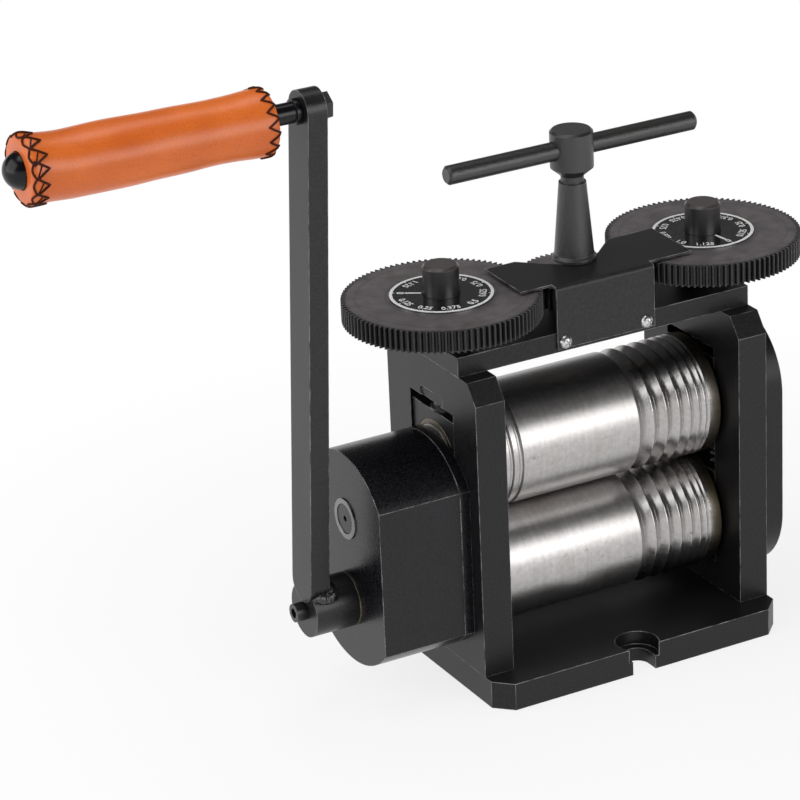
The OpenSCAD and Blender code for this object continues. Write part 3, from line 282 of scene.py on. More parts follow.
plate_black = black_steel("plate_black")
box_black = black_steel("gearbox_black", (0.0045, 0.0045, 0.006), 0.25, 0.36, 0.00003)
arm_black = black_steel("arm_black", (0.0075, 0.0075, 0.0085), 0.33, 0.42)
guard_black = black_steel("guard_black", (0.008, 0.0076, 0.008), 0.42, 0.42)
print("blackened steel:", plate_black.name, box_black.name, arm_black.name, guard_black.name)

# %% [markdown]
# ## Turned steel
# The adjusting screws and the tee handle come from a lathe, so fine rings run round their axis.
# Noise that is squeezed along the axis and long across it draws such rings without any centre
# point. Screws, shafts and bushes share this finish with other colours. Paler edges are partly
# wear and partly a painted highlight, and a lighter top colour on upward faces is painted light.

# %% Turned steel
ALONG_X, ALONG_Z = 0, 2


def turned_steel(name, colour, roughness, metallic, axis, specular=0.5, skin=0.000004, top=None):
    finish = Finish(name, colour, roughness, metallic, specular)
    stretch = tuple(60.0 if i == axis else 1.0 for i in range(3))
    rings = cloud(finish, 60.0, 4.0, stretch, 0.7)
    clouds = cloud(finish, 45.0)
    pits = cloud(finish, 900.0, 4.0, EVEN, 0.65)
    rounded = rounded_edge(finish, 0.35 * MM)
    # The edge mask paints edges paler: partly wear, partly a painted highlight.
    worn_and_highlit = edge_mask(finish, rounded, 4.0)
    dark = blend_colours(finish, rings * 0.5 + pits * 0.5, shade(colour, 0.6), shade(colour, 1.5))
    # A top colour on upward faces is painted light from above.
    if top is not None:
        dark = blend_colours(finish, facing_up(finish) * pits * 1.6, dark, top)
    pale = tuple(min(1.0, c * 2.2 + 0.06) for c in colour)
    rough = roughness - 0.1 + clouds * 0.06 + rings * 0.08 + pits * 0.1 - worn_and_highlit * 0.06
    finish.wear(Base_Color=blend_colours(finish, worn_and_highlit, dark, pale), Roughness=rough,
                Normal=bumps(finish, rings * 0.000006 + pits * skin, 1.0, rounded))
    return finish.material


# The screws' top colour is painted light on their upward faces.
screw_black = turned_steel("screw_black", (0.011, 0.009, 0.009), 0.33, 0.0, ALONG_Z,
                           specular=0.7, skin=0.00002, top=(0.085, 0.07, 0.07))
tee_black = turned_steel("tee_black", (0.014, 0.012, 0.0115), 0.36, 0.0, ALONG_Z,
                         specular=0.8, skin=0.00018)
bar_black = turned_steel("tee_bar_black", (0.013, 0.0115, 0.011), 0.36, 0.0, ALONG_X,
                         specular=0.8, skin=0.00018)
gloss_black = turned_steel("gloss_black", (0.003, 0.003, 0.005), 0.22, 0.0, ALONG_X, specular=0.3)
fastener_black = turned_steel("fastener_black", (0.008, 0.008, 0.009), 0.32, 0.0, ALONG_X,
                              specular=0.6)
shaft_steel = turned_steel("shaft_steel", (0.42, 0.42, 0.43), 0.34, 1.0, ALONG_X)
shaft_dark = turned_steel("shaft_dark", (0.055, 0.055, 0.058), 0.36, 0.5, ALONG_X)
ring_steel = turned_steel("ring_steel", (0.24, 0.235, 0.23), 0.38, 1.0, ALONG_X)
bright_metal = turned_steel("bright_metal", (0.58, 0.58, 0.58), 0.28, 1.0, ALONG_X)
bronze = turned_steel("oiled_bronze", (0.165, 0.14, 0.11), 0.38, 1.0, ALONG_X)
print("turned steel:", screw_black.name, tee_black.name, shaft_steel.name, bronze.name)

# %% [markdown]
# ## Gear steel
# The dial gears are faced on a lathe: their tops are a brownish grey with faint rings round the
# bore. Rings need the distance from the gear's own middle, so a Mapping node moves the pattern
# there, and noise of that distance gives the rings. Dark steps lie at the dial's rim, near the
# gear's own rim and at the roots of the teeth; the one at the dial's rim is painted shade where
# the dial plate stands on the gear. Paler edges are partly wear and partly a painted highlight. A
# ramp runs from 0 to 1, so the radius is scaled first, and a stop at 0.70 lies at 35 mm.

# %% Gear steel
RADIUS_SCALE = 20.0
# The dip at 0.455, just outside the dial plate, is painted shade at the plate's foot.
GEAR_STEPS = [(0.44, 1.0), (0.455, 0.6), (0.47, 0.92), (0.69, 1.0), (0.70, 0.7), (0.72, 1.0),
              (0.775, 0.9), (0.785, 0.2)]


def gear_steel(name, centre_x):
    finish = Finish(name, (0.075, 0.066, 0.067), 0.42, 0.0, 0.42)
    local = finish.add("ShaderNodeMapping", {},
                       {"Vector": finish.place, "Location": (-centre_x, 0.0, 0.0),
                        "Scale": (1.0, 1.0, 0.0)})
    radius = finish.add("ShaderNodeVectorMath", {"operation": "LENGTH"}, {0: local}, "Value")
    wobble = cloud(finish, 90.0)
    ring_place = finish.add("ShaderNodeCombineXYZ", {}, {"X": radius * 1500.0 + wobble * 0.9})
    rings = finish.add("ShaderNodeTexNoise", {},
                       {"Vector": ring_place, "Scale": 1.0, "Detail": 3.0})
    step = ramp(finish, radius * RADIUS_SCALE, GEAR_STEPS)
    rounded = rounded_edge(finish, 0.35 * MM)
    # The edge mask paints edges paler: partly wear, partly a painted highlight.
    worn_and_highlit = edge_mask(finish, rounded, 4.0)
    blotch = ramp(finish, cloud(finish, 130.0, 5.0, EVEN, 0.7), [(0.32, 0.0), (0.68, 1.0)])
    top = blend_colours(finish, rings * 0.4 + blotch * 0.6, (0.060, 0.053, 0.054),
                        (0.172, 0.155, 0.158))
    stepped = blend_colours(finish, facing_up(finish) * step, (0.008, 0.0075, 0.0075), top)
    finish.wear(Base_Color=blend_colours(finish, worn_and_highlit, stepped, (0.16, 0.155, 0.155)),
                Roughness=0.38 + rings * 0.12 - worn_and_highlit * 0.1,
                Normal=bumps(finish, rings, 0.000008, rounded))
    return finish.material


screw_lo, screw_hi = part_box("left_adjusting_screw")
LEFT_X = (screw_lo.x + screw_hi.x) / 2
RIGHT_X = -LEFT_X
left_gear_steel = gear_steel("left_gear_steel", LEFT_X)
right_gear_steel = gear_steel("right_gear_steel", RIGHT_X)
middle_gear_steel = gear_steel("middle_gear_steel", 0.0)
print("gear centres at", round(LEFT_X, 4), round(RIGHT_X, 4))

# %% [markdown]
# ## Ground rollers
# The rollers are hardened and ground, so they are bright, but not mirrors: a fine mottle covers
# them, scratches run round them, and they hold faint stains. The grooves at the right are polished
# by the wire, and the rim beyond them is brown with old oil. Both begin at a place along the
# roller, which is scaled for the ramps: a stop at 0.20 lies at 20 mm.

# %% Ground rollers
LENGTH_SCALE = 10.0


def roller_steel(name):
    finish = Finish(name, (0.52, 0.51, 0.50), 0.32, 1.0)
    scratches = cloud(finish, 40.0, 6.0, (80.0, 1.0, 1.0), 0.75)
    coarse = cloud(finish, 16.0, 3.0, (40.0, 0.6, 0.6), 0.6)
    stains = cloud(finish, 60.0, 4.0)
    mottle = cloud(finish, 520.0, 4.0, EVEN, 0.65)
    specks = cloud(finish, 300.0, 5.0, (0.4, 1.0, 1.0), 0.7)
    nicks = ramp(finish, specks, [(0.30, 1.0), (0.36, 0.0)])
    across = finish.add("ShaderNodeSeparateXYZ", {}, {"Vector": finish.place}, "X") * LENGTH_SCALE
    oiled = ramp(finish, stains, [(0.3, 0.5), (0.6, 1.0)])
    rim = ramp(finish, across, [(0.485, 0.0), (0.51, 1.0)]) * oiled
    grooved = ramp(finish, across, [(0.18, 0.0), (0.20, 1.0)])
    rounded = rounded_edge(finish, 0.25 * MM)
    greys = ramp(finish, coarse * 0.35 + mottle * 0.65, [(0.35, 0.0), (0.65, 1.0)])
    grey = blend_colours(finish, greys, (0.40, 0.385, 0.38), (0.52, 0.505, 0.50))
    stained = blend_colours(finish, ramp(finish, stains, [(0.5, 0.0), (0.75, 0.35)]), grey,
                            (0.36, 0.33, 0.30))
    nicked = blend_colours(finish, nicks * 0.5, stained, (0.14, 0.13, 0.12))
    rough = 0.25 + scratches * 0.05 + mottle * 0.13 + rim * 0.12 - grooved * 0.11
    finish.wear(Base_Color=blend_colours(finish, rim, nicked, (0.20, 0.165, 0.10)),
                Roughness=rough,
                Normal=bumps(finish, scratches * 0.2 + mottle * 0.8, 0.000024, rounded))
    return finish.material


ground_steel = roller_steel("ground_roller_steel")
print("ground steel:", ground_steel.name)

# %% [markdown]
# ## Dials, print and wood
# The dials are thin grey metal, smooth enough to mirror the screws that stand on them. Their print
# is white paint. The core of the grip is plain wood.

# %% Dial, print and wood
def dial_metal():
    finish = Finish("dial_metal", (0.32, 0.32, 0.33), 0.14, 1.0)
    mottle = cloud(finish, 700.0)
    rounded = rounded_edge(finish, 0.15 * MM)
    colour = blend_colours(finish, cloud(finish, 120.0), (0.27, 0.27, 0.28), (0.40, 0.40, 0.41))
    finish.wear(Base_Color=colour, Roughness=0.1 + mottle * 0.12,
                Normal=bumps(finish, mottle, 0.000003, rounded))
    return finish.material


def white_paint():
    finish = Finish("white_paint", (0.80, 0.80, 0.79), 0.5)
    patches = ramp(finish, cloud(finish, 900.0, 2.0), [(0.3, 0.55), (0.5, 1.0)])
    colour = blend_colours(finish, patches, (0.45, 0.45, 0.45), (0.86, 0.86, 0.85))
    finish.wear(Base_Color=colour, Roughness=0.42 + patches * 0.1)
    return finish.material


def grip_wood():
    finish = Finish("grip_wood", (0.32, 0.19, 0.09), 0.6)
    grain = cloud(finish, 60.0, 4.0, (0.2, 3.0, 3.0))
    finish.wear(Base_Color=blend_colours(finish, grain, (0.24, 0.13, 0.06), (0.40, 0.25, 0.12)),
                Normal=bumps(finish, grain, 0.00003))
    return finish.material


dial_face, print_white, wood = dial_metal(), white_paint(), grip_wood()
print("thin finishes:", dial_face.name, print_white.name, wood.name)

# %% [markdown]
# ## Each CAD node gets its finish
# The steel shapes are already right, so only their material slots change. A table from finish to
# nodes keeps this in one place, and a count shows that no node was missed. The grip's leather is
# absent, because a new piece replaces it below.

# %% Dress the CAD nodes
DRESSED = {
    plate_black: ["base_plate", "left_side_plate", "right_side_plate", "bridge_bar",
                  "left_lower_block", "right_lower_block", "left_upper_block",
                  "right_upper_block", "right_gear_cover"],
    box_black: ["gearbox_back_plate", "gearbox_cover"],
    arm_black: ["crank_arm", "crank_hub", "hub_weld"],
    screw_black: ["left_adjusting_screw", "right_adjusting_screw", "left_screw_nut",
                  "right_screw_nut"],
    tee_black: ["tee_stem"],
    bar_black: ["tee_bar"],
    gloss_black: ["grip_spindle"],
    shaft_dark: ["countershaft"],
    ring_steel: ["countershaft_ring"],
    fastener_black: ["base_screws", "bar_screws", "gearbox_screws", "right_cover_screws",
                     "crank_cap_screw", "spindle_nut", "tee_clip"],
    left_gear_steel: ["left_dial_gear"],
    right_gear_steel: ["right_dial_gear"],
    middle_gear_steel: ["centre_pinion"],
    ground_steel: ["lower_roller", "upper_roller"],
    shaft_steel: ["countershaft_gear", "crank_pinion_shaft", "roller_drive_gear",
                  "lower_tie_gear", "upper_tie_gear", "drive_gear_key", "lower_tie_key",
                  "upper_tie_key", "left_dial_key", "right_dial_key"],
    bright_metal: ["guard_screws", "lift_springs"],
    bronze: ["left_lower_bush", "right_lower_bush", "left_upper_bush", "right_upper_bush",
             "crank_bush", "tee_bush"],
    guard_black: ["gear_guard"],
    dial_face: ["left_dial_plate", "right_dial_plate"],
    wood: ["grip_core"],
}
for material, names in DRESSED.items():
    for name in names:
        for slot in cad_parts[name].material_slots:
            slot.material = material
missing = set(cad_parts) - {name for names in DRESSED.values() for name in names}
print("dressed nodes:", sum(len(n) for n in DRESSED.values()), "still bare:", sorted(missing))

# %% [markdown]
# ## Making a piece
# Every new piece ends the same way: its bmesh becomes an object at the origin, with smooth faces up
# to a given angle, its finish and the body that it rides on. Text and curves become meshes before
# they get their place.

# %% Finish a piece
def make_mesh(name, shape, material):
    mesh = bpy.data.meshes.new(name)
    shape.to_mesh(mesh)
    shape.free()
    mesh.materials.append(material)
    mesh.shade_smooth()
    return mesh


def make_piece(name, shape, material, body, sharp=40.0):
    mesh = make_mesh(name, shape, material)
    mesh.set_sharp_from_angle(angle=math.radians(sharp))
    piece = link(bpy.data.objects.new(name, mesh))
    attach(piece, body)
    print(name, len(mesh.polygons), "faces")
    return piece


def mesh_of(curve):
    holder = link(bpy.data.objects.new(curve.name, curve))
    bpy.context.view_layer.update()
    mesh = bpy.data.meshes.new_from_object(holder)
    bpy.data.objects.remove(holder)
    return mesh


print("pieces can be made")

# %% [markdown]
# ## The shape of the leather
# A piece of hide is wrapped round the wooden core and laced to its rims. It isn't a cylinder: it
# bulges in the middle, pulls in near the arm and flares where the lacing holds it. Its radius is a
# sum of soft swells along the grip, with a sag to one side and a few lumps.

# %% Leather shape
leather_lo, leather_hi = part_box("grip_leather")
GRIP_Y = (leather_lo.y + leather_hi.y) / 2
GRIP_Z = (leather_lo.z + leather_hi.z) / 2
OUTER_REACH = 1.4 * MM
GRIP_X0 = leather_lo.x - OUTER_REACH
GRIP_LEN = leather_hi.x - GRIP_X0
EDGE = 2.3 * MM
GRIP_RADIUS = 12.8
SWELLS = ((0.9, 0.0, 0.07), (0.45, 0.34, 0.2), (-0.3, 0.78, 0.1), (0.3, 0.93, 0.05),
          (0.35, 1.0, 0.05))
SAG, SAG_START = 1.2, 0.2
LUMPS = 0.25


def leather_radius(s, angle):
    shape = GRIP_RADIUS
    for size, centre, width in SWELLS:
        shape += size * math.exp(-((s - centre) / width) ** 2)
    start = min(1.0, s / SAG_START)
    sag = SAG * start ** 2 * (3.0 - 2.0 * start)
    lump = noise.noise(Vector((s * 6.0, math.cos(angle) * 1.3, math.sin(angle) * 1.3)))
    ends = min(s, 1.0 - s) * GRIP_LEN
    drop = 0.0
    if ends < EDGE:
        drop = EDGE - math.sqrt(max(0.0, EDGE ** 2 - (EDGE - ends) ** 2))
    return (shape + LUMPS * lump - sag * math.cos(angle)) * MM - drop


def grip_point(s, angle, extra=0.0):
    radius = leather_radius(s, angle) + extra
    return Vector((GRIP_X0 + s * GRIP_LEN, GRIP_Y + radius * math.sin(angle),
                   GRIP_Z + radius * math.cos(angle)))


print("leather from x", round(GRIP_X0, 4), "length", round(GRIP_LEN, 4))

# %% [markdown]
# ## The leather wrap
# A few points of its section are spun round the spindle, and each point then moves out to the
# radius above. The section turns in at both ends to a lip round the spindle, and the two lips are
# bridged, so that the hide is a closed solid.

# %% Leather wrap
LIP = 7.5 * MM
LIP_DEPTH = 2.4 * MM
RIM_STEPS, BODY_STEPS, ROUND_STEPS = 6, 48, 96


def leather_wrap():
    wrap = bmesh.new()
    edge, lip = EDGE / GRIP_LEN, LIP_DEPTH / GRIP_LEN
    rims = [EDGE * (1.0 - math.cos(math.radians(90.0 * k / RIM_STEPS))) / GRIP_LEN
            for k in range(RIM_STEPS)]
    body = [edge + (1.0 - 2.0 * edge) * i / BODY_STEPS for i in range(BODY_STEPS + 1)]
    skin = [(leather_radius(s, 0.0), s) for s in rims + body + [1.0 - s for s in reversed(rims)]]
    section = [(LIP, lip), (LIP, 0.0)] + skin + [(LIP, 1.0), (LIP, 1.0 - lip)]
    points = [wrap.verts.new((GRIP_X0 + s * GRIP_LEN, GRIP_Y, GRIP_Z + r)) for r, s in section]
    edges = [wrap.edges.new(pair) for pair in zip(points, points[1:])]
    bmesh.ops.spin(wrap, geom=points + edges, cent=(GRIP_X0, GRIP_Y, GRIP_Z), axis=(1, 0, 0),
                   angle=math.radians(360.0), steps=ROUND_STEPS, use_merge=True)
    for vert in wrap.verts:
        spoke = Vector((0.0, vert.co.y - GRIP_Y, vert.co.z - GRIP_Z))
        if spoke.length > LIP * 1.02:
            s = min(1.0, max(0.0, (vert.co.x - GRIP_X0) / GRIP_LEN))
            vert.co = grip_point(s, math.atan2(spoke.y, spoke.z))
    bmesh.ops.bridge_loops(wrap, edges=[edge for edge in wrap.edges if edge.is_boundary])
    bmesh.ops.recalc_face_normals(wrap, faces=wrap.faces[:])
    return wrap


def tan_leather():
    finish = Finish("tan_leather", (0.72, 0.145, 0.016), 0.36, 0.0, 0.48)
    patches = cloud(finish, 34.0)
    pores = cloud(finish, 1500.0, 3.0, EVEN, 0.6)
    creases = cloud(finish, 420.0, 4.0, (0.5, 1.0, 1.0), 0.6)
    colour = blend_colours(finish, ramp(finish, patches, [(0.35, 0.0), (0.65, 1.0)]),
                           (0.68, 0.128, 0.013), (0.80, 0.172, 0.021))
    aged = blend_colours(finish, ramp(finish, pores, [(0.3, 0.3), (0.5, 0.0)]), colour,
                         (0.30, 0.045, 0.010))
    finish.wear(Base_Color=aged, Roughness=0.27 + pores * 0.18 - patches * 0.04,
                Normal=bumps(finish, pores * 0.6 + creases * 0.4, 0.00004))
    return finish.material


grip_wrap = make_piece("leather_wrap", leather_wrap(), tan_leather(), "grip", 60.0)
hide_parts("grip_leather")

# %% [markdown]
# ## Thread
# A thread is a curve with a round section, and its points lie on the hide, so that it follows every
# lump. Its dark brown is broken up by its strands.

# %% Thread
def thread_finish():
    finish = Finish("thread_brown", (0.045, 0.009, 0.004), 0.6, 0.0, 0.15)
    strands = cloud(finish, 900.0, 2.0, (1.0, 2.0, 2.0))
    colour = blend_colours(finish, strands, (0.030, 0.006, 0.003), (0.075, 0.016, 0.007))
    finish.wear(Base_Color=colour, Normal=bumps(finish, strands, 0.00008))
    return finish.material


thread_brown = thread_finish()


def thread(name, runs, radius, closed=True):
    curve = bpy.data.curves.new(name, "CURVE")
    curve.dimensions = "3D"
    curve.bevel_depth = radius
    curve.bevel_resolution = 2
    curve.use_fill_caps = True
    curve.materials.append(thread_brown)
    for points in runs:
        spline = curve.splines.new("POLY")
        spline.points.add(len(points) - 1)
        for knot, place in zip(spline.points, points):
            knot.co = (*place, 1.0)
        spline.use_cyclic_u = closed
    run = link(bpy.data.objects.new(name, curve))
    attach(run, "grip")
    print(name, len(runs), "runs")


def along(places, steps, lift):
    points = []
    for (s0, a0), (s1, a1) in zip(places, places[1:]):
        for k in range(steps):
            t = k / steps
            points.append(grip_point(s0 + (s1 - s0) * t, a0 + (a1 - a0) * t, lift))
    return points


print("thread finish:", thread_brown.name)

# %% [markdown]
# ## The lacing
# The thread runs zigzag round each rim: it dips into the hide a few millimetres in and comes back
# to the rim. On the outer end a second thread crosses each stitch. No two stitches are quite alike,
# so each is moved by a little noise.

# %% Lacing
STITCHES = 14
HALF_STITCH = math.tau / STITCHES * 0.56
PER_MM = MM / GRIP_LEN
BASE, TIP = 1.5 * PER_MM, 7.0 * PER_MM
NEAR, FAR = 1.0 - 0.4 * PER_MM, 1.0 - 5.0 * PER_MM
LIFT = 0.25 * MM
CROSS_LIFT = 0.12 * MM


def stray(i, size):
    return size * noise.noise(Vector((i * 3.7, size * 90.0, 0.5)))


def stitch_middle(i):
    return math.tau * (i + stray(i, 0.12)) / STITCHES


def loop_stitch(i):
    middle, half = stitch_middle(i), HALF_STITCH
    peak = TIP + stray(i + 40, 0.010)
    arc = [(BASE - 0.012 * math.sin(math.pi * k / 6), middle + half * (1.0 - k / 3))
           for k in range(7)]
    point = [(BASE, middle - half), (peak, middle), (BASE, middle + half)]
    return along(point, 6, LIFT) + along(arc, 1, LIFT)


def cross_stitch(i):
    middle, half = stitch_middle(i), HALF_STITCH
    places = [(BASE, middle - half), ((BASE + TIP) / 2, middle + half * 0.5),
              (BASE, middle + half * 0.9)]
    return along(places, 5, CROSS_LIFT)


def zigzag():
    places = []
    for i in range(STITCHES * 2):
        s = NEAR if i % 2 == 0 else FAR
        angle = math.radians(3.0) + math.tau * i / (STITCHES * 2)
        places.append((s + stray(i + 80, 0.008), angle))
    places.append((places[0][0], places[0][1] + math.tau))
    return along(places, 6, LIFT)


thread("outer_lacing", [loop_stitch(i) for i in range(STITCHES)], 0.46 * MM)
thread("outer_cross_lacing", [cross_stitch(i) for i in range(STITCHES)], 0.3 * MM, False)
thread("inner_lacing", [zigzag()], 0.44 * MM)

# %% [markdown]
# ## Parts of a print
# Print could be a texture, but real letters stay sharp at any distance, so each label is a text
# object made into a mesh. Bars and rings make up the rest. Every part that is already in its place
# is tagged, so that the next transform leaves it alone.

# %% Print parts
PRINT = 0.05 * MM


def label_mesh(words, size):
    text = bpy.data.curves.new("label", "FONT")
    text.body, text.size = words, size
    text.align_x, text.align_y = "CENTER", "CENTER"
    text.extrude, text.resolution_u, text.offset = PRINT / 2, 3, size * 0.012
    return mesh_of(text)


def add_mesh(shape, mesh, place):
    shape.from_mesh(mesh)
    fresh = [v for v in shape.verts if not v.tag]
    bmesh.ops.transform(shape, matrix=place, verts=fresh)
    for vert in fresh:
        vert.tag = True
    bpy.data.meshes.remove(mesh)


def add_bar(shape, length, width, place):
    size = Matrix.Diagonal((length, width, PRINT, 1.0))
    for vert in bmesh.ops.create_cube(shape, size=1.0, matrix=place @ size)["verts"]:
        vert.tag = True


def add_ring(shape, inner, outer, place):
    low, high = -PRINT / 2, PRINT / 2
    section = [shape.verts.new(place @ Vector((r, 0.0, z)))
               for r, z in ((inner, low), (outer, low), (outer, high), (inner, high))]
    edges = [shape.edges.new((section[i], section[(i + 1) % 4])) for i in range(4)]
    bmesh.ops.spin(shape, geom=section + edges, cent=place.translation, axis=(0, 0, 1),
                   angle=math.radians(360.0), steps=128, use_merge=True)
    for vert in shape.verts:
        vert.tag = True


print("print is", round(PRINT / MM, 3), "mm thick")

# %% [markdown]
# ## The printed dials
# Each dial counts how far the rollers open: ten labels in steps of 0.125 mm, a white rim and a
# pointer. Plain numbers are the only words on this mill. The two dials stand at different turns, as
# in the photograph, and their print rides on them.

# %% Dial print
LABELS = ["0", "0.125", "0.25", "0.375", "0.5", "0.625", "0.75", "0.875", "1.0", "1.125"]
LABEL_STEP = 360.0 / len(LABELS)
RIM_INNER, RIM_OUTER = 20.0 * MM, 21.3 * MM
TICK_R, TICK_LENGTH, TICK_WIDTH = 19.6 * MM, 0.9 * MM, 0.35 * MM
LABEL_R, SHORT_LABEL, LONG_LABEL = 16.9 * MM, 4.6 * MM, 4.2 * MM
POINTER_R, POINTER_LENGTH, POINTER_WIDTH = 11.6 * MM, 6.6 * MM, 1.1 * MM
NARROW = Matrix.Diagonal((0.86, 1.0, 1.0, 1.0))


def turned(degrees):
    return Matrix.Rotation(math.radians(degrees), 4, "Z")


def outward(radius):
    return Matrix.Translation((radius, 0.0, 0.0))


def dial_print(name, plate, body, centre_x, turn):
    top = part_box(plate)[1].z + PRINT / 2
    middle = Matrix.Translation((centre_x, 0.0, top))
    shape = bmesh.new()
    add_ring(shape, RIM_INNER, RIM_OUTER, middle)
    for i, words in enumerate(LABELS):
        spoke = middle @ turned(turn + LABEL_STEP * i)
        add_bar(shape, TICK_LENGTH, TICK_WIDTH, spoke @ outward(TICK_R))
        size = LONG_LABEL if len(words) > 3 else SHORT_LABEL
        place = spoke @ outward(LABEL_R) @ turned(90.0) @ NARROW
        add_mesh(shape, label_mesh(words, size), place)
    pointer = middle @ turned(turn) @ outward(POINTER_R)
    add_bar(shape, POINTER_LENGTH, POINTER_WIDTH, pointer)
    bmesh.ops.recalc_face_normals(shape, faces=shape.faces[:])
    make_piece(name, shape, print_white, body, 30.0)


dial_print("left_dial_print", "left_dial_plate", "left_dial", LEFT_X, 146.0)
dial_print("right_dial_print", "right_dial_plate", "right_dial", RIGHT_X, 276.0)

# %% [markdown]
# ## The path of the weld
# The arm is welded to its hub. The bead runs along the front of the arm's foot and then round the
# hub, over the top and down the back. Its path lies on the hub, so each point is a place along the
# hub and an angle from the arm's own direction.

# %% Weld path
arm_lo, arm_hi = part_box("crank_arm")
hub_lo, hub_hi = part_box("crank_hub")
AXIS_Z = (hub_lo.z + hub_hi.z) / 2
HUB_R = (hub_hi.z - hub_lo.z) / 2
LEAN = math.atan2(-GRIP_Y, GRIP_Z - AXIS_Z)
FOOT = math.radians(42.0)
INSET = 1.5 * MM
CLEAR_OF_ARM = 1.0 * MM
FOOT_STEPS, ROUND_HUB_STEPS = 8, 20


def round_hub(x, angle, radius):
    spoke = Matrix.Rotation(LEAN + angle, 3, "X") @ Vector((0.0, 0.0, radius))
    return Vector((x, spoke.y, AXIS_Z + spoke.z))


def weld_run():
    side = arm_hi.x + CLEAR_OF_ARM
    start = arm_lo.x + INSET
    reach = side - arm_lo.x - 2.0 * INSET
    run = [(start + reach * k / FOOT_STEPS, FOOT) for k in range(FOOT_STEPS + 1)]
    run += [(side, FOOT - 2.0 * FOOT * k / ROUND_HUB_STEPS) for k in range(ROUND_HUB_STEPS + 1)]
    return run


print("the arm leans", round(math.degrees(LEAN), 2), "degrees; hub radius", round(HUB_R, 4))

# %% [markdown]
# ## The weld bead
# A weld is a row of small overlapping puddles, so it is never quite even. A curve with a round
# section gives the run, thinner at its ends, and noise then pushes its skin out and in.

# %% Weld bead
BEAD_R = 3.0 * MM
PROUD = 0.1 * MM
PUDDLES, RIPPLES = (0.55 * MM, 260.0), (0.3 * MM, 900.0)


def weld_curve(run):
    curve = bpy.data.curves.new("weld_run", "CURVE")
    curve.dimensions = "3D"
    curve.bevel_depth = BEAD_R
    curve.bevel_resolution = 5
    curve.use_fill_caps = True
    spline = curve.splines.new("NURBS")
    spline.points.add(len(run) - 1)
    for i, (knot, (x, angle)) in enumerate(zip(spline.points, run)):
        knot.co = (*round_hub(x, angle, HUB_R + PROUD), 1.0)
        ends = min(i, len(run) - 1 - i) / 3.0
        knot.radius = min(1.0, 0.35 + 0.65 * ends)
    spline.use_endpoint_u, spline.resolution_u = True, 6
    return curve


def weld_bead():
    mesh = mesh_of(weld_curve(weld_run()))
    bead = bmesh.new()
    bead.from_mesh(mesh)
    bpy.data.meshes.remove(mesh)
    bmesh.ops.remove_doubles(bead, verts=bead.verts[:], dist=0.01 * MM)
    bmesh.ops.recalc_face_normals(bead, faces=bead.faces[:])
    for vert in bead.verts:
        lump = sum(size * noise.noise(vert.co * scale) for size, scale in (PUDDLES, RIPPLES))
        vert.co += vert.normal * lump
    return bead


def weld_metal():
    finish = Finish("weld_metal", (0.010, 0.010, 0.011), 0.3, 0.0, 0.7)
    scale = cloud(finish, 380.0, 4.0)
    colour = blend_colours(finish, ramp(finish, scale, [(0.4, 0.0), (0.65, 1.0)]),
                           (0.005, 0.005, 0.006), (0.030, 0.029, 0.029))
    finish.wear(Base_Color=colour, Roughness=0.16 + scale * 0.22,
                Normal=bumps(finish, scale, 0.0003))
    return finish.material


weld = make_piece("weld_bead", weld_bead(), weld_metal(), "crank", 80.0)
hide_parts("hub_weld")

# %% [markdown]
# ## The lift springs
# Four springs push the upper blocks up against the screws. A real one has a closed turn at each
# end. Spin takes a step along its axis with each turn of its section, which draws a helix, and
# three spins with different steps give the two closed ends and the open middle. The springs stretch
# between the frame and the upper blocks.

# %% Lift springs
spring_lo, spring_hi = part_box("lift_springs")
WIRE = 0.9 * MM
COIL_R = 2.85 * MM
OPEN_TURNS = 5.0
TURN_STEPS = 28
CLOSED_PITCH = 1.05 * WIRE
END_GAP = 0.55 * WIRE
SPRING_X = (spring_hi.x - spring_lo.x) / 2 - COIL_R - WIRE / 2
SPRING_Y = (spring_hi.y - spring_lo.y) / 2 - COIL_R - WIRE / 2


def coil(x, y):
    spring = bmesh.new()
    low, high = spring_lo.z + END_GAP, spring_hi.z - END_GAP
    first = Matrix.Translation((x + COIL_R, y, low)) @ Matrix.Rotation(math.radians(90.0), 4, "X")
    bmesh.ops.create_circle(spring, segments=10, radius=WIRE / 2, cap_ends=False, matrix=first)
    section = spring.verts[:] + spring.edges[:]
    closed = (1.0, CLOSED_PITCH)
    middle = (OPEN_TURNS, high - low - 2.0 * CLOSED_PITCH)
    for turns, rise in (closed, middle, closed):
        steps = int(turns * TURN_STEPS)
        made = bmesh.ops.spin(spring, geom=section, cent=(x, y, 0.0), axis=(0, 0, 1),
                              dvec=(0, 0, rise / steps), angle=math.tau * turns, steps=steps)
        section = made["geom_last"]
    bmesh.ops.remove_doubles(spring, verts=spring.verts[:], dist=WIRE * 0.01)
    bmesh.ops.holes_fill(spring, edges=[e for e in spring.edges if e.is_boundary])
    bmesh.ops.recalc_face_normals(spring, faces=spring.faces[:])
    return spring


for side, x in (("left", -SPRING_X), ("right", SPRING_X)):
    for depth, y in (("front", -SPRING_Y), ("back", SPRING_Y)):
        title = side + "_" + depth + "_lift_spring"
        mesh = make_mesh(title, coil(x, y), bright_metal)
        spring = link(bpy.data.objects.new(title, mesh))
        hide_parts("lift_springs")
        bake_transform(spring)
        print(title, len(mesh.polygons), "faces")

# %% [markdown]
# ## The studio's backdrop
# The mill stands on a pale table before a low white backdrop. The backdrop is white because the
# world looks white there to the camera, to gloss and to glass, and not because more light falls on
# the mill. It is only as high as a real one: above it the studio is dim, so the black steel stays
# black on top.

# %% Backdrop
BACKDROP_FADE = [(0.13, 1.0), (0.22, 0.07)]
ROOM_LIGHT = 0.2

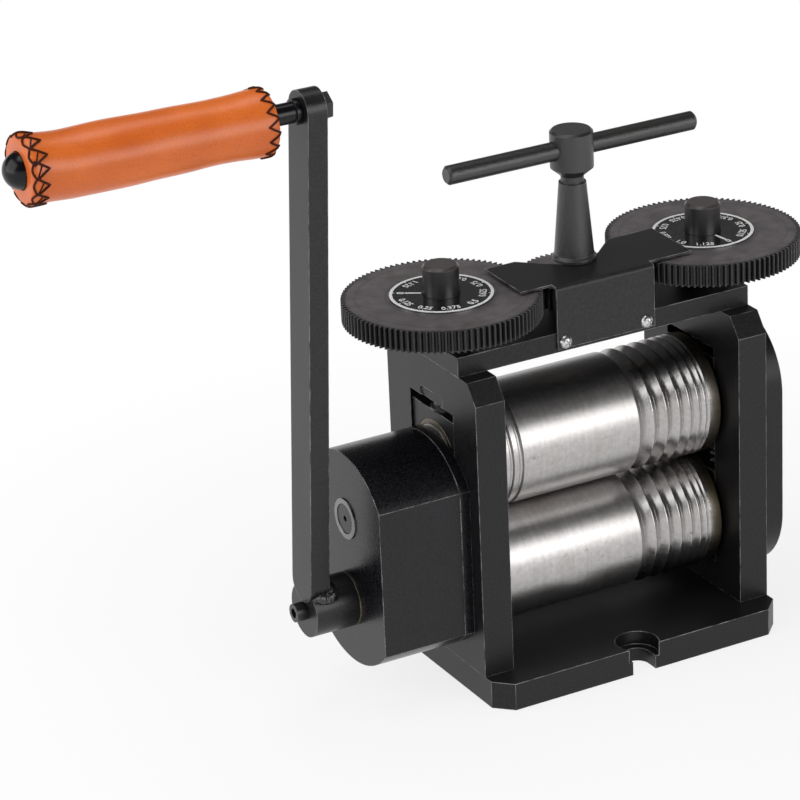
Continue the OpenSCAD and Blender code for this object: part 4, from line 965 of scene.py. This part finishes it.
world = bpy.data.worlds.new("studio_world")
bpy.context.scene.world = world
world.use_nodes = True
sky = Nodes(world.node_tree, "ShaderNodeOutputWorld")
camera_ray = sky.add("ShaderNodeLightPath", {}, {}, "Is Camera Ray")
glossy_ray = sky.add("ShaderNodeLightPath", {}, {}, "Is Glossy Ray")
glass_ray = sky.add("ShaderNodeLightPath", {}, {}, "Is Transmission Ray")
shiny = glossy_ray.maths("MAXIMUM", glossy_ray, glass_ray)
seen = shiny.maths("MAXIMUM", camera_ray, shiny)
way = sky.add("ShaderNodeTexCoord", {}, {}, "Generated")
height = sky.add("ShaderNodeSeparateXYZ", {}, {"Vector": way}, "Z")
fade = ramp(sky, height, BACKDROP_FADE)
room = sky.add("ShaderNodeBackground", {}, {"Color": (1.0, 1.0, 1.0), "Strength": ROOM_LIGHT})
backdrop = sky.add("ShaderNodeBackground", {}, {"Color": fade, "Strength": 1.0})
sky.show(sky.add("ShaderNodeMixShader", {}, {0: seen, 1: room, 2: backdrop}))
print("backdrop fades between", BACKDROP_FADE[0][0], "and", BACKDROP_FADE[1][0])

# %% [markdown]
# ## The lamps
# Three soft lamps light the mill: a big one at the left, one overhead and one in front. Each is
# given its place, what it points at, its width and height, and its watts.

# %% Lamps
MILL_MIDDLE = (0.0, 0.0, 0.12)


def soft_lamp(name, place, target, width, height, watts):
    data = bpy.data.lights.new(name, "AREA")
    data.shape, data.size, data.size_y, data.energy = "RECTANGLE", width, height, watts
    lamp = link(bpy.data.objects.new(name, data))
    lamp.location = place
    aim = Vector(target) - Vector(place)
    lamp.rotation_euler = aim.to_track_quat("-Z", "Y").to_euler()
    print(name, watts, "W at", place)


soft_lamp("left_softbox", (-1.35, 0.1, 0.8), (-0.05, 0.0, 0.12), 1.5, 1.4, 14.0)
soft_lamp("top_softbox", (-0.1, 0.1, 1.3), (0.0, 0.0, 0.1), 1.0, 0.6, 5.0)
soft_lamp("front_softbox", (0.5, -1.45, 0.62), MILL_MIDDLE, 1.1, 0.75, 9.5)

# %% [markdown]
# ## The floor
# A wide disc lies just under the base. For the camera and for gloss it is mostly plain white, with
# a share of lit paint near the mill, so the shadow stays and the edge of the table never shows.

# %% Floor
FLOOR_R = 6.0
FLOOR_DROP = 0.2 * MM
WHITE_SHARE = [(0.14, 0.82), (0.36, 1.0)]


def pale_floor():
    finish = Finish("pale_floor", (0.9, 0.9, 0.9), 0.9, 0.0, 0.0)
    camera_ray = finish.add("ShaderNodeLightPath", {}, {}, "Is Camera Ray")
    glossy_ray = finish.add("ShaderNodeLightPath", {}, {}, "Is Glossy Ray")
    white = finish.add("ShaderNodeEmission", {}, {"Color": (1.0, 1.0, 1.0), "Strength": 1.0})
    away = finish.add("ShaderNodeVectorMath", {"operation": "LENGTH"}, {0: finish.place}, "Value")
    share = (camera_ray + glossy_ray).clamp() * ramp(finish, away, WHITE_SHARE)
    finish.show(finish.add("ShaderNodeMixShader", {}, {0: share, 1: finish.surface, 2: white}))
    return finish.material


table = bmesh.new()
bmesh.ops.create_circle(table, cap_ends=True, segments=96, radius=FLOOR_R)
floor = link(bpy.data.objects.new("floor", make_mesh("floor", table, pale_floor())))
floor.location = (0.0, 0.0, -FLOOR_DROP)
print("floor radius", FLOOR_R, "m")

# %% [markdown]
# ## The view transform
# The view transform stays Standard, so that colours render as they are written.

# %% Finish
bpy.context.scene.view_settings.view_transform = "Standard"
